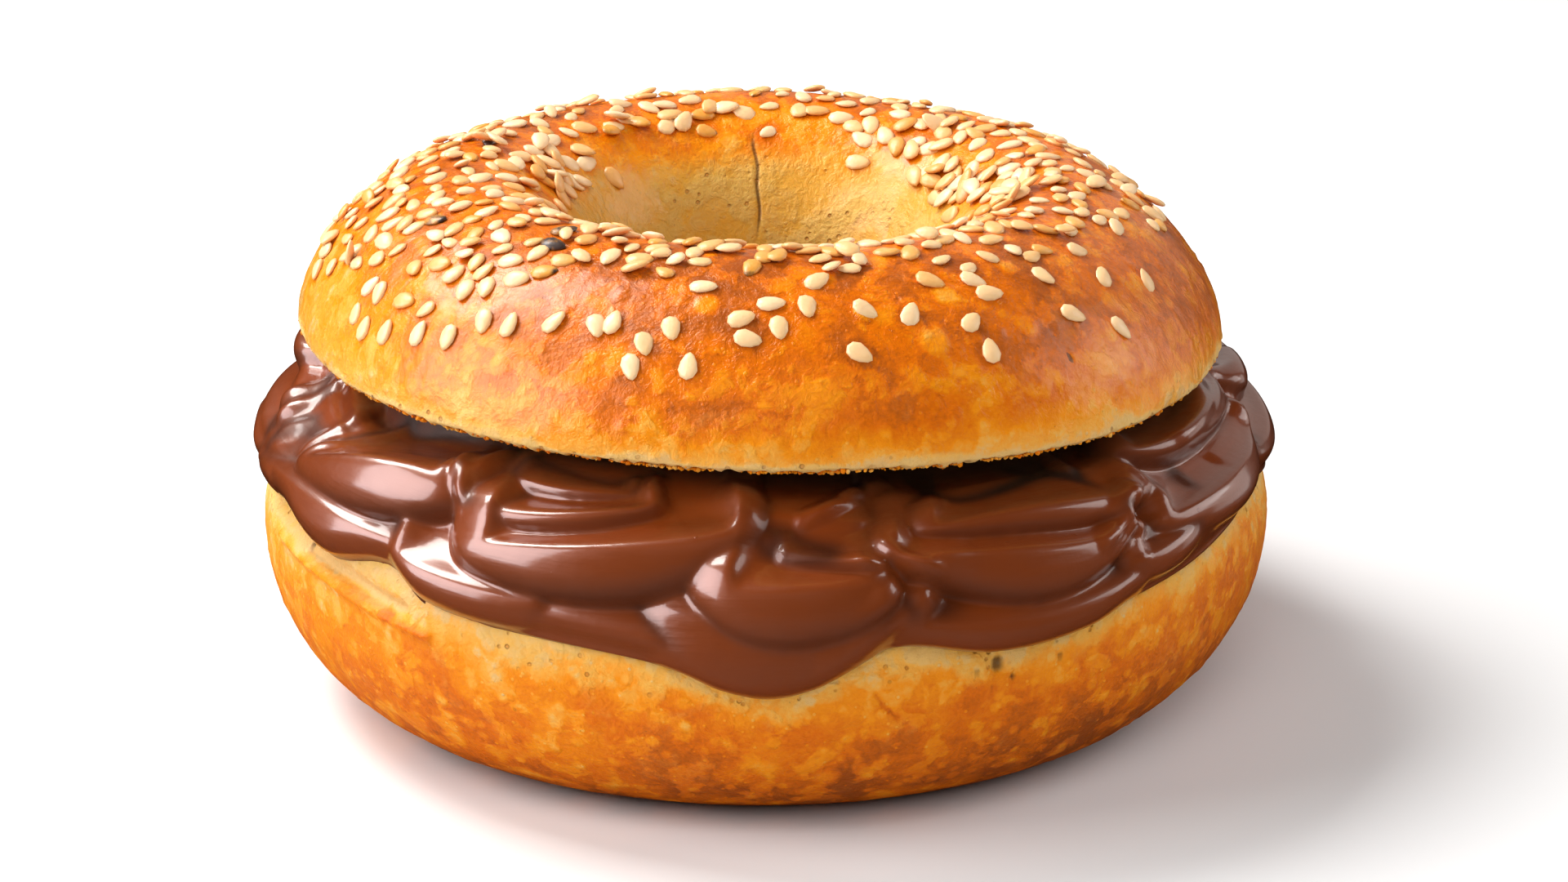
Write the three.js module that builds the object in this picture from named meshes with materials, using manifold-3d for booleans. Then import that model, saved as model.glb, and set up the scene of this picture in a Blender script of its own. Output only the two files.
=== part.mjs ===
// A sesame bagel, sliced across into two halves, with a thick layer of chocolate spread between them.
// The spread lies in overlapping spoonfuls that swell over the cut edge, and one runs down the front.
//
// Millimetres, +Z up. The origin is on the table, in the middle of the footprint. Azimuth 0 is the
// front, -Y, and azimuths grow towards +X. Each piece is a ring: a closed outline in radius and height
// that changes a little with the azimuth.
import * as THREE from "three";
import { mergeVertices } from "three/addons/utils/BufferGeometryUtils.js";
import Module from "manifold-3d";

const { degToRad, radToDeg, euclideanModulo, smoothstep, clamp, lerp } = THREE.MathUtils;
const TURN = 2 * Math.PI;
const TINY = 1e-6;

// ---- Driving dimensions, in millimetres, and angles in degrees ----

const GAP = 0.35; // between pieces that lie on each other
const bottomClear = 0.4; // of the spread from the side of the lower half
const hole = [0.1, 0.8]; // middle of the hole, so that the footprint is centred
const BREAD_STEPS = 64; // azimuth steps round each half
const SPREAD_STEPS = 136; // azimuth steps round the spread
const frontCrowd = 0.22; // how much closer those of the spread lie at the front than on average

// The lower half. Its section is a superellipse, flattened where it was baked on the tray.
const bottom = {
  ringRadius: 34.4, // from the middle of the hole to the middle of the dough
  outerWidth: 20.6, // from there out to the side
  innerWidth: 17.2, // and in to the wall of the hole
  widest: 19.4, // height of the widest line
  depth: 20.0, // of the section below that line, before it is flattened
  rise: 14.0, // of the section above that line, before it is cut
  power: 2.14,
  cut: 26.5, // height of the cut face
  shoulder: 25.3, // height down to which the outer cut edge is rounded
  edgeRound: 1.0, // how far in that rounding starts
  holeRound: 1.4, // the same at the hole
};

// The upper half is smaller and sits a little askew. Its heights are measured from its cut face.
const top = {
  ringRadius: 31.6,
  outerWidth: 18.6,
  innerWidth: 14.3,
  widest: 1.5,
  rise: 16.5,
  backRise: 0.4, // how much higher the crown is at the back, and lower at the front
  power: 1.7, // of the outer side
  holePower: 1.95, // of the side towards the hole
  cutInset: 2.4, // of the cut edge inside the widest line
  edgeRise: 0.75, // how far the cut face curls up towards that edge
  edgeRun: 9.0, // distance over which it curls up
  holeInset: 0.8, // of the cut edge at the hole
  swellRise: 0.4, // share of a wave's size that also lifts the crown
  centre: [-0.3, -0.3],
  cut: 38.35, // height of the cut face above the table
  tilt: 1.35, // lifts the left side
};

// Slow waves that keep a radius from being round: waves in a turn, size, phase.
const bottomWaves = [[1, 0.3, 180], [2, 0.1, 90], [3, 0.25, 200], [5, 0.2, 310], [9, 0.1, 75]];
const topWaves = [[2, 0.2, 100], [3, 0.3, 20], [5, 0.22, 250], [8, 0.12, 130]];

// The spread, from under the upper half out and down over the side of the lower half. The course is the
// floor of its creases as radius and height, and "along" is the distance down that course.
const spreadCourse = [
  [41.0, 37.9], [44.0, 36.0], [47.2, 34.2], [50.0, 31.9], [52.0, 29.3],
  [53.6, 26.8], [54.8, 24.2], [55.6, 21.2], [55.9, 17.0],
];
const spreadHole = { radius: 17.0, bulge: 1.6, bulgeAt: 0.45, foot: 0.6, round: 1.2, flat: 1.6 };
const flatEnd = 35.0; // radius out to which the spread lies flat under the upper half
const meanRadius = 54; // turns an azimuth into a distance round the spread

// The lower edge of the spread: azimuth, along. It hangs lowest at the front.
const rimPoints = [
  [-168, 19.6], [-152, 18.2], [-136, 20.4], [-120, 18.4], [-104, 19.8], [-90, 18.3], [-78, 19.2],
  [-65, 18.2], [-54, 20.0], [-44, 18.4], [-37, 21.0], [-24, 21.8], [-13, 22.8], [-8, 24.0], [-4, 25.6],
  [0.5, 26.4], [5, 25.5], [9, 23.6], [13.5, 21.7], [24, 23.4], [35, 22.9], [41, 21.6], [52, 20.5], [62, 19.3],
  [74, 18.1], [86, 19.6], [100, 18.2], [115, 20.0], [130, 18.4], [146, 20.6], [161, 18.4], [177, 20.8],
].map(([azimuth, along]) => [degToRad(azimuth), along]);
const rimRound = 2.4; // distance over which the spread rounds off to its lower edge
const rimTuck = 0.2; // how far below that edge the spread turns in
const bead = { lift: 1.6, peak: 2.4, end: 7.0 }; // the roll just above that edge
const emerge = 5.0; // distance over which the swirls come up from under the upper half

// Spoonfuls: azimuth, along, half length, half height, slant, level, lift, lip, dish. The lip is the
// plump band inside the lower edge, and the dish is how far the scoop behind it sinks.
const spoonfuls = [
  // front, left of the middle
  [-57, 7.2, 21, 8.5, 0, 0.7, 1.8, 3.0, 3.0],
  [-53, 14.0, 17.5, 6.2, 0, 0.2, 1.8, 3.4, 2.2],
  [-30, 14.4, 13.6, 8.2, 0.03, 0.4, 2.0, 4.4, 2.6],
  [-18.5, 7.6, 17.2, 10.7, -0.06, 0.8, 1.8, 4.8, 2.8],
  [-23.5, 4.8, 12.7, 7.2, -0.03, 1.0, 1.4, 1.4, 3.2],
  // front, the middle and the run
  [3.2, 14.0, 9.8, 7.3, 0, 1.0, 2.4, 5.6, 3.2],
  [1, 17.6, 14.0, 9.4, 0, 0.1, 1.9, 4.4, 1.8],
  [8, 9.0, 7.0, 4.6, 0.08, 0.9, 1.2, 2.6, 0.8],
  // front, right of the middle
  [28, 11.1, 14, 8.3, 0.06, 0.7, 2.0, 3.8, 2.8],
  [32, 6.4, 14.5, 7.6, 0.04, 1.0, 1.5, 2.0, 3.2],
  [27, 16.8, 15, 7.2, 0, 0.2, 1.8, 3.6, 2.2],
  [48, 15.6, 7.5, 5.6, 0, 0.3, 1.8, 3.2, 2.0],
  [62, 10.6, 16, 8.6, -0.05, 0.6, 2.0, 3.6, 2.6],
  [65, 3.4, 17, 7.0, 0.03, 1.1, 1.7, 2.2, 2.6],
  // round the right side
  [90, 12.5, 15, 5.6, -0.12, 0.4, 1.7, 3.4, 2.4],
  [96, 5.5, 15, 7.4, 0.06, 0.9, 1.9, 3.4, 3.0],
  [113, 12.5, 15, 7.0, -0.05, 0.3, 2.0, 4.6, 2.6],
  // round the back
  [140, 11.0, 14, 8.6, 0.05, 0.7, 2.3, 5.2, 3.0],
  [132, 5.5, 12, 6.4, 0.05, 1.5, 1.8, 2.6, 3.0],
  [136, 15.0, 16, 5.0, 0, 0.1, 1.8, 3.6, 2.2],
  [167, 12.0, 15, 7.8, -0.08, 0.5, 2.2, 4.8, 3.0],
  [160, 5.5, 12, 6.4, 0.06, 1.5, 1.8, 2.6, 3.0],
  [194, 11.0, 15, 8.6, 0.04, 0.8, 2.3, 5.2, 3.0],
  [188, 15.4, 14, 5.2, 0, 0.1, 1.8, 3.6, 2.2],
  [190, 5.0, 12, 6.2, -0.05, 1.6, 1.8, 2.6, 3.0],
  [219, 12.0, 14, 7.4, -0.06, 0.4, 2.1, 4.6, 2.8],
  [215, 5.5, 12, 6.2, 0.08, 1.5, 1.8, 2.6, 3.0],
  // round the left side
  [243, 11.0, 15, 8.4, 0.06, 0.7, 2.1, 5.0, 3.0],
  [239, 15.0, 14, 5.0, 0, 0.1, 1.8, 3.6, 2.2],
  [259, 5.0, 13, 7.4, 0.08, 0.9, 1.9, 3.2, 3.0],
  [268, 12.5, 14, 6.6, 0.08, 0.4, 1.8, 4.0, 2.4],
  [285, 13.2, 9, 5.0, 0.04, 0.1, 1.6, 3.4, 2.2],
].map(([azimuth, along, halfLength, halfHeight, slant, level, lift, lip, dish]) => (
  { azimuth: degToRad(azimuth), along, halfLength, halfHeight, slant, level, lift, lip, dish }
));

// Soft ridges that the knife drew over the spoonfuls: azimuth and along at both ends, half width, lift.
const strands = [
  // from the run up to the right, the curl under the upper half and the pinch of creases
  [8, 22.5, 20, 13.0, 3.4, 1.3],
  [4, 9.0, 11, 5.6, 1.5, 1.2],
  [9, 5.8, 15, 3.4, 1.3, 1.2],
  [37, 14.8, 46, 9.6, 1.4, 0.9],
  [40.5, 13.4, 46.5, 15.0, 1.3, 0.8],
  [44.5, 10.5, 43, 17.2, 1.2, 0.8],
  // long drags on both sides
  [58, 8.4, 92, 3.6, 2.2, 1.2],
  [64, 12.2, 96, 9.0, 2.2, 1.0],
  [-66, 6.0, -96, 3.4, 2.2, 1.2],
  [-74, 12.5, -102, 9.4, 2.4, 1.0],
  [-90, 17.0, -70, 17.6, 1.8, 0.7],
  [150, 13.5, 178, 11.0, 2.2, 1.0],
  [205, 13.0, 232, 16.0, 2.2, 1.0],
].map(([azimuth, along, toAzimuth, toAlong, halfWidth, lift]) => (
  { azimuth: degToRad(azimuth), along, toAzimuth: degToRad(toAzimuth), toAlong, halfWidth, lift }
));
const spoonReach = 4; // a spoonful's half height above its middle, as a multiple of that below
const outerFall = 3; // slope by which a spoonful falls away outside its edge
const endLips = [0.7, 0.35]; // widths of the lip at the left and right end, as shares of that at the foot
const dishRun = 5.0; // distance over which a dish reaches its depth
const backFall = 0.55; // slope by which a spoonful sinks above its middle
const strandTips = 0.15; // how far along its arch a strand starts, and from the end of it stops

// The hand's wander: a place is read a little further along, and a little further round.
const drift = { along: 0.5, alongTurns: 9, alongRate: 0.3, round: 0.012, roundTurns: 5, roundRate: 0.55 };

// Sesame seeds, half sunk in the crust of the upper half.
const seedLength = 3.1;
const seedWidth = 2.0;
const seedSunk = 1.0; // depth of its foot under the crust
const seedBelly = 0.35; // height of its widest line over the crust
const seedProud = 0.8; // height of its back over the crust
const seedTaper = 0.28; // how much narrower its pointed end is
const seedSides = 6;
const seedCount = 112;
const seedSpacing = 5.8; // least distance between two seeds
const seedDraws = 40000;
const seedStart = 20261; // of the random numbers
const seedAngles = [20, 145]; // the band of the crust that holds them, from the outer side to the hole
const seedScales = [0.88, 1.14];

// Where the seeds start, at the front and elsewhere, and where they end in the hole, as angles.
const seedStarts = { front: [40, 84], elsewhere: [24, 52], strays: [22, 34], end: [112, 142] };
const strayShare = 0.10; // of seeds that fell lower down
const strayLeft = 0.4; // share of those that isn't on the left side

// ---- Shared helpers ----

// Point of a superellipse round the origin, with the angle counted from the end of its width.
function superPoint(width, height, power, angle) {
  const reach = Math.abs(Math.cos(angle)) ** (2 / power);
  const climb = Math.abs(Math.sin(angle)) ** (2 / power);
  return [width * reach, height * climb];
}

function waves(list, azimuth) {
  return list.reduce((sum, [count, size, phase]) => (
    sum + size * Math.sin(count * azimuth + degToRad(phase))
  ), 0);
}

function place(azimuth, radius, height) {
  return [radius * Math.sin(azimuth), -radius * Math.cos(azimuth), height];
}

// Closed ring from a function that gives its outline, as [x, y, z] points, at an azimuth. The outline
// runs out along the upper side and back in along the lower side. Each quad is split along its shorter
// diagonal, and the azimuths may crowd towards the front.
function ringGeometry(steps, outlineAt, crowd = 0) {
  const outlines = Array.from({ length: steps }, (_, i) => {
    const turned = (i / steps) * TURN;
    return outlineAt(turned - crowd * Math.sin(turned));
  });
  const count = outlines[0].length;
  const corners = outlines.flat().map((point) => new THREE.Vector3(...point));
  const span = (from, to) => corners[from].distanceTo(corners[to]);
  const index = [];
  for (let i = 0; i < steps; i += 1) {
    for (let j = 0; j < count; j += 1) {
      const a = i * count + j;
      const b = i * count + ((j + 1) % count);
      const c = ((i + 1) % steps) * count + ((j + 1) % count);
      const d = ((i + 1) % steps) * count + j;
      index.push(...(span(a, c) <= span(b, d) ? [a, b, c, a, c, d] : [a, b, d, b, c, d]));
    }
  }
  const geometry = new THREE.BufferGeometry();
  geometry.setAttribute("position", new THREE.Float32BufferAttribute(outlines.flat(2), 3));
  geometry.setIndex(index);
  geometry.computeVertexNormals();
  return geometry;
}

// ---- The lower half ----

const bottomOuterAngles = [0, 22, 42, 58, 70, 76]; // down to the flat of the base
const bottomInnerAngles = [0, 30, 56, 76];

function bottomRadius(azimuth, height) {
  const share = clamp(Math.abs(height - bottom.widest) / bottom.rise, 0, 1);
  const reach = (1 - share ** bottom.power) ** (1 / bottom.power);
  return bottom.ringRadius + bottom.outerWidth * reach + waves(bottomWaves, azimuth) * reach;
}

// One side of the section from the widest line down to the flat of the base. The width is counted
// outwards from the middle of the dough, so it is below zero for the wall of the hole.
function bottomSide(width, angles) {
  return angles.map((degrees) => {
    const [reach, fall] = superPoint(width, bottom.depth, bottom.power, degToRad(degrees));
    return [bottom.ringRadius + reach, Math.max(0, bottom.widest - fall)];
  });
}

function bottomOutline(azimuth) {
  const midHeight = (bottom.widest + bottom.cut) / 2;
  const holeRadius = bottom.ringRadius - bottom.innerWidth;
  const outline = [
    [holeRadius + bottom.holeRound, bottom.cut],
    [bottomRadius(azimuth, bottom.cut) - bottom.edgeRound, bottom.cut],
    [bottomRadius(azimuth, bottom.shoulder), bottom.shoulder],
    [bottomRadius(azimuth, midHeight), midHeight],
    ...bottomSide(bottom.outerWidth + waves(bottomWaves, azimuth), bottomOuterAngles),
    ...bottomSide(-bottom.innerWidth, bottomInnerAngles).reverse(),
  ];
  return outline.map(([radius, height]) => place(azimuth, radius, height));
}

// ---- The upper half, in its own frame: the cut face is at height 0 ----

// Point of the crust, with the angle counted from the outer side over the crown to the hole.
function crustPoint(azimuth, angle) {
  const swell = waves(topWaves, azimuth);
  const outside = Math.cos(angle) >= 0;
  const width = outside ? top.outerWidth + swell : -top.innerWidth;
  const power = outside ? top.power : top.holePower;
  const rise = top.rise - top.backRise * Math.cos(azimuth) + top.swellRise * swell;
  const [reach, climb] = superPoint(width, rise, power, angle);
  return place(azimuth, top.ringRadius + reach, top.widest + climb);
}

const domeAngles = [0, 16, 32, 47, 61, 75, 90, 105, 120, 136, 155, 180];

function topOutline(azimuth) {
  const holeRadius = top.ringRadius - top.innerWidth;
  const cutRadius = top.ringRadius + top.outerWidth - top.cutInset + waves(topWaves, azimuth);
  return [
    place(azimuth, holeRadius + top.holeInset, 0),
    ...domeAngles.map((degrees) => crustPoint(azimuth, degToRad(degrees))).reverse(),
    place(azimuth, cutRadius, top.edgeRise),
    place(azimuth, cutRadius - top.edgeRun, 0),
  ];
}

// ---- Sesame seeds ----

// Random numbers from 0 to 1 by a linear congruence, the same on every machine.
function randomStream(start) {
  let state = start;
  return () => {
    state = (state * 1664525 + 1013904223) % 4294967296;
    return state / 4294967296;
  };
}

// How thickly the seeds lie, from 0 to 1: most round the hole and over the back, few on the front.
function seedDensity(azimuth, angle) {
  const degrees = radToDeg(angle);
  const front = Math.max(0, Math.cos(azimuth)) ** 2;
  const left = Math.max(0, -Math.sin(azimuth));
  const [from, to] = [0, 1].map((k) => lerp(seedStarts.elsewhere[k], seedStarts.front[k], front));
  const shoulder = smoothstep(degrees, from, to);
  const wall = 1 - smoothstep(degrees, ...seedStarts.end);
  const strays = strayShare * smoothstep(degrees, ...seedStarts.strays) * (strayLeft + left);
  return Math.max(shoulder, strays) * wall;
}

function seedPlaces() {
  const random = randomStream(seedStart);
  const places = [];
  for (let draw = 0; draw < seedDraws && places.length < seedCount; draw += 1) {
    const azimuth = random() * TURN;
    const angle = degToRad(lerp(...seedAngles, random()));
    const chance = random();
    const heading = random() * TURN;
    const size = lerp(...seedScales, random());
    const point = new THREE.Vector3(...crustPoint(azimuth, angle));
    const area = Math.hypot(point.x, point.y) / (top.ringRadius + top.outerWidth);
    if (chance > seedDensity(azimuth, angle) * area) continue;
    if (places.some((other) => other.point.distanceTo(point) < seedSpacing)) continue;
    places.push({ azimuth, angle, heading, size, point });
  }
  return places;
}

function crustNormal(azimuth, angle) {
  const step = 0.01;
  const here = new THREE.Vector3(...crustPoint(azimuth, angle));
  const round = new THREE.Vector3(...crustPoint(azimuth + step, angle)).sub(here);
  const over = new THREE.Vector3(...crustPoint(azimuth, angle + step)).sub(here);
  return round.cross(over).normalize();
}

// One seed: its foot, its back and between them a drop-shaped belly line, pointed at +X.
function seedGeometry() {
  const points = [[0, 0, -seedSunk], [0, 0, seedProud]];
  const index = [];
  for (let k = 0; k < seedSides; k += 1) {
    const angle = (k / seedSides) * TURN;
    const y = (seedWidth / 2) * Math.sin(angle) * (1 - seedTaper * Math.cos(angle));
    points.push([(seedLength / 2) * Math.cos(angle), y, seedBelly]);
    const next = (k + 1) % seedSides;
    index.push(0, next + 2, k + 2, 1, k + 2, next + 2);
  }
  const geometry = new THREE.BufferGeometry();
  geometry.setAttribute("position", new THREE.Float32BufferAttribute(points.flat(), 3));
  geometry.setIndex(index);
  return geometry;
}

function seedMatrix({ azimuth, angle, heading, size, point }) {
  const normal = crustNormal(azimuth, angle);
  const level = new THREE.Vector3(Math.cos(azimuth), Math.sin(azimuth), 0);
  const along = level.applyAxisAngle(normal, heading).projectOnPlane(normal).normalize();
  const across = new THREE.Vector3().crossVectors(normal, along);
  return new THREE.Matrix4().makeBasis(along, across, normal)
    .scale(new THREE.Vector3(size, size, size)).setPosition(point);
}

// ---- Joining ----

const wasm = await Module();
wasm.setup();

function toSolid(geometry) {
  const bare = geometry.clone();
  bare.deleteAttribute("normal");
  bare.deleteAttribute("uv");
  const merged = mergeVertices(bare);
  return new wasm.Manifold(new wasm.Mesh({
    numProp: 3,
    vertProperties: new Float32Array(merged.attributes.position.array),
    triVerts: new Uint32Array(merged.index.array),
  }));
}

function toGeometry(solid) {
  const mesh = solid.getMesh();
  const geometry = new THREE.BufferGeometry();
  geometry.setAttribute("position", new THREE.Float32BufferAttribute(mesh.vertProperties, 3));
  geometry.setIndex([...mesh.triVerts]);
  geometry.computeVertexNormals();
  return geometry;
}

function seededTop() {
  const seed = seedGeometry();
  const crust = toSolid(ringGeometry(BREAD_STEPS, topOutline));
  const joined = seedPlaces().reduce(
    (solid, seat) => solid.add(toSolid(seed.clone().applyMatrix4(seedMatrix(seat)))),
    crust,
  );
  return toGeometry(joined);
}

// ---- The spread ----

const courseLengths = spreadCourse.reduce((lengths, point, k) => {
  if (k === 0) return [0];
  const [radius, height] = spreadCourse[k - 1];
  return [...lengths, lengths[k - 1] + Math.hypot(point[0] - radius, point[1] - height)];
}, []);
const courseCurve = new THREE.CatmullRomCurve3(
  spreadCourse.map(([radius, height]) => new THREE.Vector3(radius, height, 0)),
);
const courseEnd = courseLengths.at(-1);

// Point and outward normal of the course at a distance along it.
function coursePoint(along) {
  const share = clamp(along / courseEnd, 0, 1);
  const { x: radius, y: height } = courseCurve.getPointAt(share);
  const { x: outwards, y: upwards } = courseCurve.getTangentAt(share);
  return { radius, height, normal: [-upwards, outwards] };
}

function azimuthGap(azimuth, other) {
  return euclideanModulo(azimuth - other + Math.PI, TURN) - Math.PI;
}

// Height of one spoonful over the floor of the creases. Inside its edge it rises by a round lip, then
// sinks into its dish. Outside it falls away steeply.
function spoonfulHeight(spoonful, azimuth, along) {
  const { halfLength, halfHeight, slant, level, lift, lip, dish } = spoonful;
  const aside = azimuthGap(azimuth, spoonful.azimuth) * meanRadius;
  const down = along - spoonful.along - slant * aside;
  const reach = down > 0 ? halfHeight : halfHeight * spoonReach;
  const share = Math.hypot(aside / halfLength, down / reach) || TINY;
  const steepness = Math.hypot(aside / halfLength ** 2, down / reach ** 2) || TINY;
  const inside = (share * (1 - share)) / steepness;
  if (share >= 1) return level + outerFall * inside - backFall * Math.max(0, -down);
  const foot = Math.max(0, down / reach) / share;
  const endLip = lerp(...endLips, smoothstep(aside / halfLength, -0.5, 0.5));
  const width = lip * lerp(endLip, 1, foot);
  const depth = share < 0.5 ? Math.max(inside, halfHeight * (1 - share)) : inside;
  const rise = lift * Math.sqrt(1 - (1 - Math.min(depth / width, 1)) ** 2);
  const sunk = clamp((depth - width) / dishRun, 0, 1);
  return level + rise - dish * sunk * (2 - sunk) - backFall * Math.max(0, -down);
}

// Height that one strand adds: round across, and thinning towards both ends.
function strandHeight(strand, azimuth, along) {
  const { azimuth: start, along: from, toAzimuth, toAlong, halfWidth, lift } = strand;
  const length = azimuthGap(toAzimuth, start) * meanRadius;
  const fall = toAlong - from;
  const aside = azimuthGap(azimuth, start) * meanRadius;
  const down = along - from;
  const share = clamp((aside * length + down * fall) / (length ** 2 + fall ** 2), 0, 1);
  const away = Math.hypot(aside - share * length, down - share * fall) / halfWidth;
  const arch = Math.sin(Math.PI * lerp(strandTips, 1 - strandTips, share));
  return away >= 1 ? 0 : lift * (1 - away ** 2) ** 2 * arch;
}

// Height of the roll above the lower edge, by the distance from that edge.
function beadHeight(toRim) {
  return bead.lift * smoothstep(toRim, 0, bead.peak) * (1 - smoothstep(toRim, bead.peak, bead.end));
}

function swirlHeight(azimuth, along, rim) {
  const down = along + drift.along * Math.sin(drift.alongTurns * azimuth + drift.alongRate * along);
  const round = azimuth + drift.round * Math.sin(drift.roundTurns * azimuth + drift.roundRate * along);
  const highest = Math.max(
    beadHeight(rim - along),
    ...spoonfuls.map((spoonful) => spoonfulHeight(spoonful, round, down)),
  );
  const drawn = strands.reduce((sum, strand) => sum + strandHeight(strand, round, down), 0);
  const nearRim = 1 - clamp((rim - along) / rimRound, 0, 1);
  return (highest + drawn) * smoothstep(along, 0, emerge) * Math.sqrt(1 - nearRim ** 2);
}

// Smooth curve through points of rising x that repeat after a turn, read at x.
function throughPoints(points, x) {
  const count = points.length;
  const wrapped = euclideanModulo(x - points[0][0], TURN) + points[0][0];
  const at = (k) => {
    const [px, py] = points[euclideanModulo(k, count)];
    return [px + TURN * Math.floor(k / count), py];
  };
  let k = 0;
  while (k < count - 1 && at(k + 1)[0] <= wrapped) k += 1;
  const [[x0, y0], [x1, y1], [x2, y2], [x3, y3]] = [at(k - 1), at(k), at(k + 1), at(k + 2)];
  const span = x2 - x1;
  const t = (wrapped - x1) / span;
  const start = ((y2 - y0) / (x2 - x0)) * span;
  const end = ((y3 - y1) / (x3 - x1)) * span;
  return (2 * t ** 3 - 3 * t ** 2 + 1) * y1 + (t ** 3 - 2 * t ** 2 + t) * start
    + (3 * t ** 2 - 2 * t ** 3) * y2 + (t ** 3 - t ** 2) * end;
}

// How much the askew upper half lifts or presses the spread at a place.
function askew(x, height) {
  const lean = -Math.tan(degToRad(top.tilt)) * (x - top.centre[0]);
  return lean * clamp((height - bottom.cut) / (top.cut - bottom.cut), 0, 1);
}

const exposedSteps = 14; // stations down the part of the spread that shows
const patchShare = 0.36; // half the patch that a corner of the grid stands for, in grid steps

// The swirl as a coarse grid can hold it: the mean over the patch that one of its corners stands for.
function softSwirl(azimuth, along, rim, step) {
  const aside = patchShare * (TURN / SPREAD_STEPS);
  const shifts = [-1, 0, 1].flatMap((across) => [-1, 0, 1].map((down) => [across, down]));
  const heights = shifts.map(([across, down]) => {
    const sampled = clamp(along + down * patchShare * step, 0, rim);
    return swirlHeight(azimuth + across * aside, sampled, rim);
  });
  return heights.reduce((sum, height) => sum + height) / shifts.length;
}

function spreadOutline(azimuth) {
  const rim = throughPoints(rimPoints, azimuth);
  const ceiling = top.cut - GAP;
  const floor = bottom.cut + GAP;
  const outline = [
    [spreadHole.radius + spreadHole.foot, floor],
    [spreadHole.radius - spreadHole.bulge, lerp(floor, ceiling, spreadHole.bulgeAt)],
    [spreadHole.radius, ceiling - spreadHole.round],
    [spreadHole.radius + spreadHole.flat, ceiling],
    [flatEnd, ceiling],
  ];
  for (let k = 0; k <= exposedSteps; k += 1) {
    const along = (k / exposedSteps) * rim;
    const { radius, height, normal } = coursePoint(along);
    const swell = softSwirl(azimuth, along, rim, rim / exposedSteps);
    outline.push([radius + normal[0] * swell, Math.min(height + normal[1] * swell, ceiling)]);
  }
  const rimHeight = coursePoint(rim).height - rimTuck;
  const inside = [rimHeight, (rimHeight + bottom.shoulder) / 2, bottom.shoulder];
  outline.push(
    ...inside.map((height) => [bottomRadius(azimuth, height) + bottomClear, height]),
    [bottomRadius(azimuth, bottom.cut) - GAP / 2, floor],
  );
  return outline.map(([radius, height]) => {
    const [x, y, z] = place(azimuth, radius, height);
    return [x, y, z + askew(x, z)];
  });
}

// ---- The bagel ----

function finish(color, roughness) {
  return new THREE.MeshStandardMaterial({ color, roughness, metalness: 0 });
}

function piece(name, geometry, material) {
  const mesh = new THREE.Mesh(geometry, material);
  mesh.name = name;
  return mesh;
}

const crustFinish = finish(0xd98a35, 0.45);
const spreadFinish = finish(0x5a2a18, 0.25);

const bottomHalf = piece("bottom_half", ringGeometry(BREAD_STEPS, bottomOutline), crustFinish);
const filling = piece("chocolate_filling", ringGeometry(SPREAD_STEPS, spreadOutline, frontCrowd), spreadFinish);
const topHalf = piece("top_half", seededTop(), crustFinish);
topHalf.position.set(top.centre[0], top.centre[1], top.cut);
topHalf.rotation.y = degToRad(top.tilt);

const bagel = new THREE.Group();
bagel.add(bottomHalf, filling, topHalf);
bagel.position.set(hole[0], hole[1], 0);

export default bagel;
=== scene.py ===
"""A sesame bagel, sliced across, with a thick layer of chocolate spread between its halves.

Each piece is a ring about the hole: a grid of corners, one closed outline for each azimuth.
Azimuth 0 is the front, -Y, and azimuths grow towards +X.  Sizes are in millimetres, and angles are in
radians unless a name says degrees.  Meshes are written in metres, in the frame of the CAD solids.
"""

from __future__ import annotations

import logging
import math
from collections.abc import Callable
from dataclasses import dataclass, replace
from enum import Enum

import bpy
import numpy as np
from mathutils import Matrix, Vector

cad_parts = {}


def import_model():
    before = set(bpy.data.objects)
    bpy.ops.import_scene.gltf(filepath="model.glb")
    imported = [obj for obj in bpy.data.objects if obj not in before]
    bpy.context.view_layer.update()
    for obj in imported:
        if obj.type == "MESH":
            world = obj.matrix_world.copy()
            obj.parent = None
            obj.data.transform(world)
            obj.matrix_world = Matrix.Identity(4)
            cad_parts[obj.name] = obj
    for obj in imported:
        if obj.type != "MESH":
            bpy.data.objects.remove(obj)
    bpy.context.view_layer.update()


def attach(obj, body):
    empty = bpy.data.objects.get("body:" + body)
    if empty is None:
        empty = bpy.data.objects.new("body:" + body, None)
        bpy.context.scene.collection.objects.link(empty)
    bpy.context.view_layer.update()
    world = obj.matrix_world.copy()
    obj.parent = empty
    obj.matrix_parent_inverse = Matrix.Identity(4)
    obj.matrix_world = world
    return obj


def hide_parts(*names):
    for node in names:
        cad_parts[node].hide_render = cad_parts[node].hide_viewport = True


LOG = logging.getLogger("bagel")
BODY = "root"
MM = 0.001
TURN = 2.0 * math.pi
TINY = 1e-6

Grid = np.ndarray
Pair = tuple[float, float]
Triple = tuple[float, float, float]
Color = Triple


class Slot(str, Enum):
    """Material slots of the part's record."""

    BREAD = "bread_crust"
    GLAZED = "glazed_crust"
    SPREAD = "chocolate_spread"


class Node(str, Enum):
    """CAD solids that the pieces stand for."""

    BOTTOM = "bottom_half"
    FILLING = "chocolate_filling"
    TOP = "top_half"


# ---- Numbers ----


def smoothstep(values: Grid, low: Grid | float, high: Grid | float) -> Grid:
    """Smooth step from 0 at low to 1 at high.

    Args:
        values: Numbers to read.
        low: Where the step starts.
        high: Where it ends.

    Returns:
        Numbers from 0 to 1.
    """
    share = np.clip((values - low) / (high - low), 0.0, 1.0)
    return share * share * (3.0 - 2.0 * share)


def lerp(low: Grid | float, high: Grid | float, share: Grid | float) -> Grid | float:
    """Returns the value that lies at a share of the way from low to high."""
    return low + (high - low) * share


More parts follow.
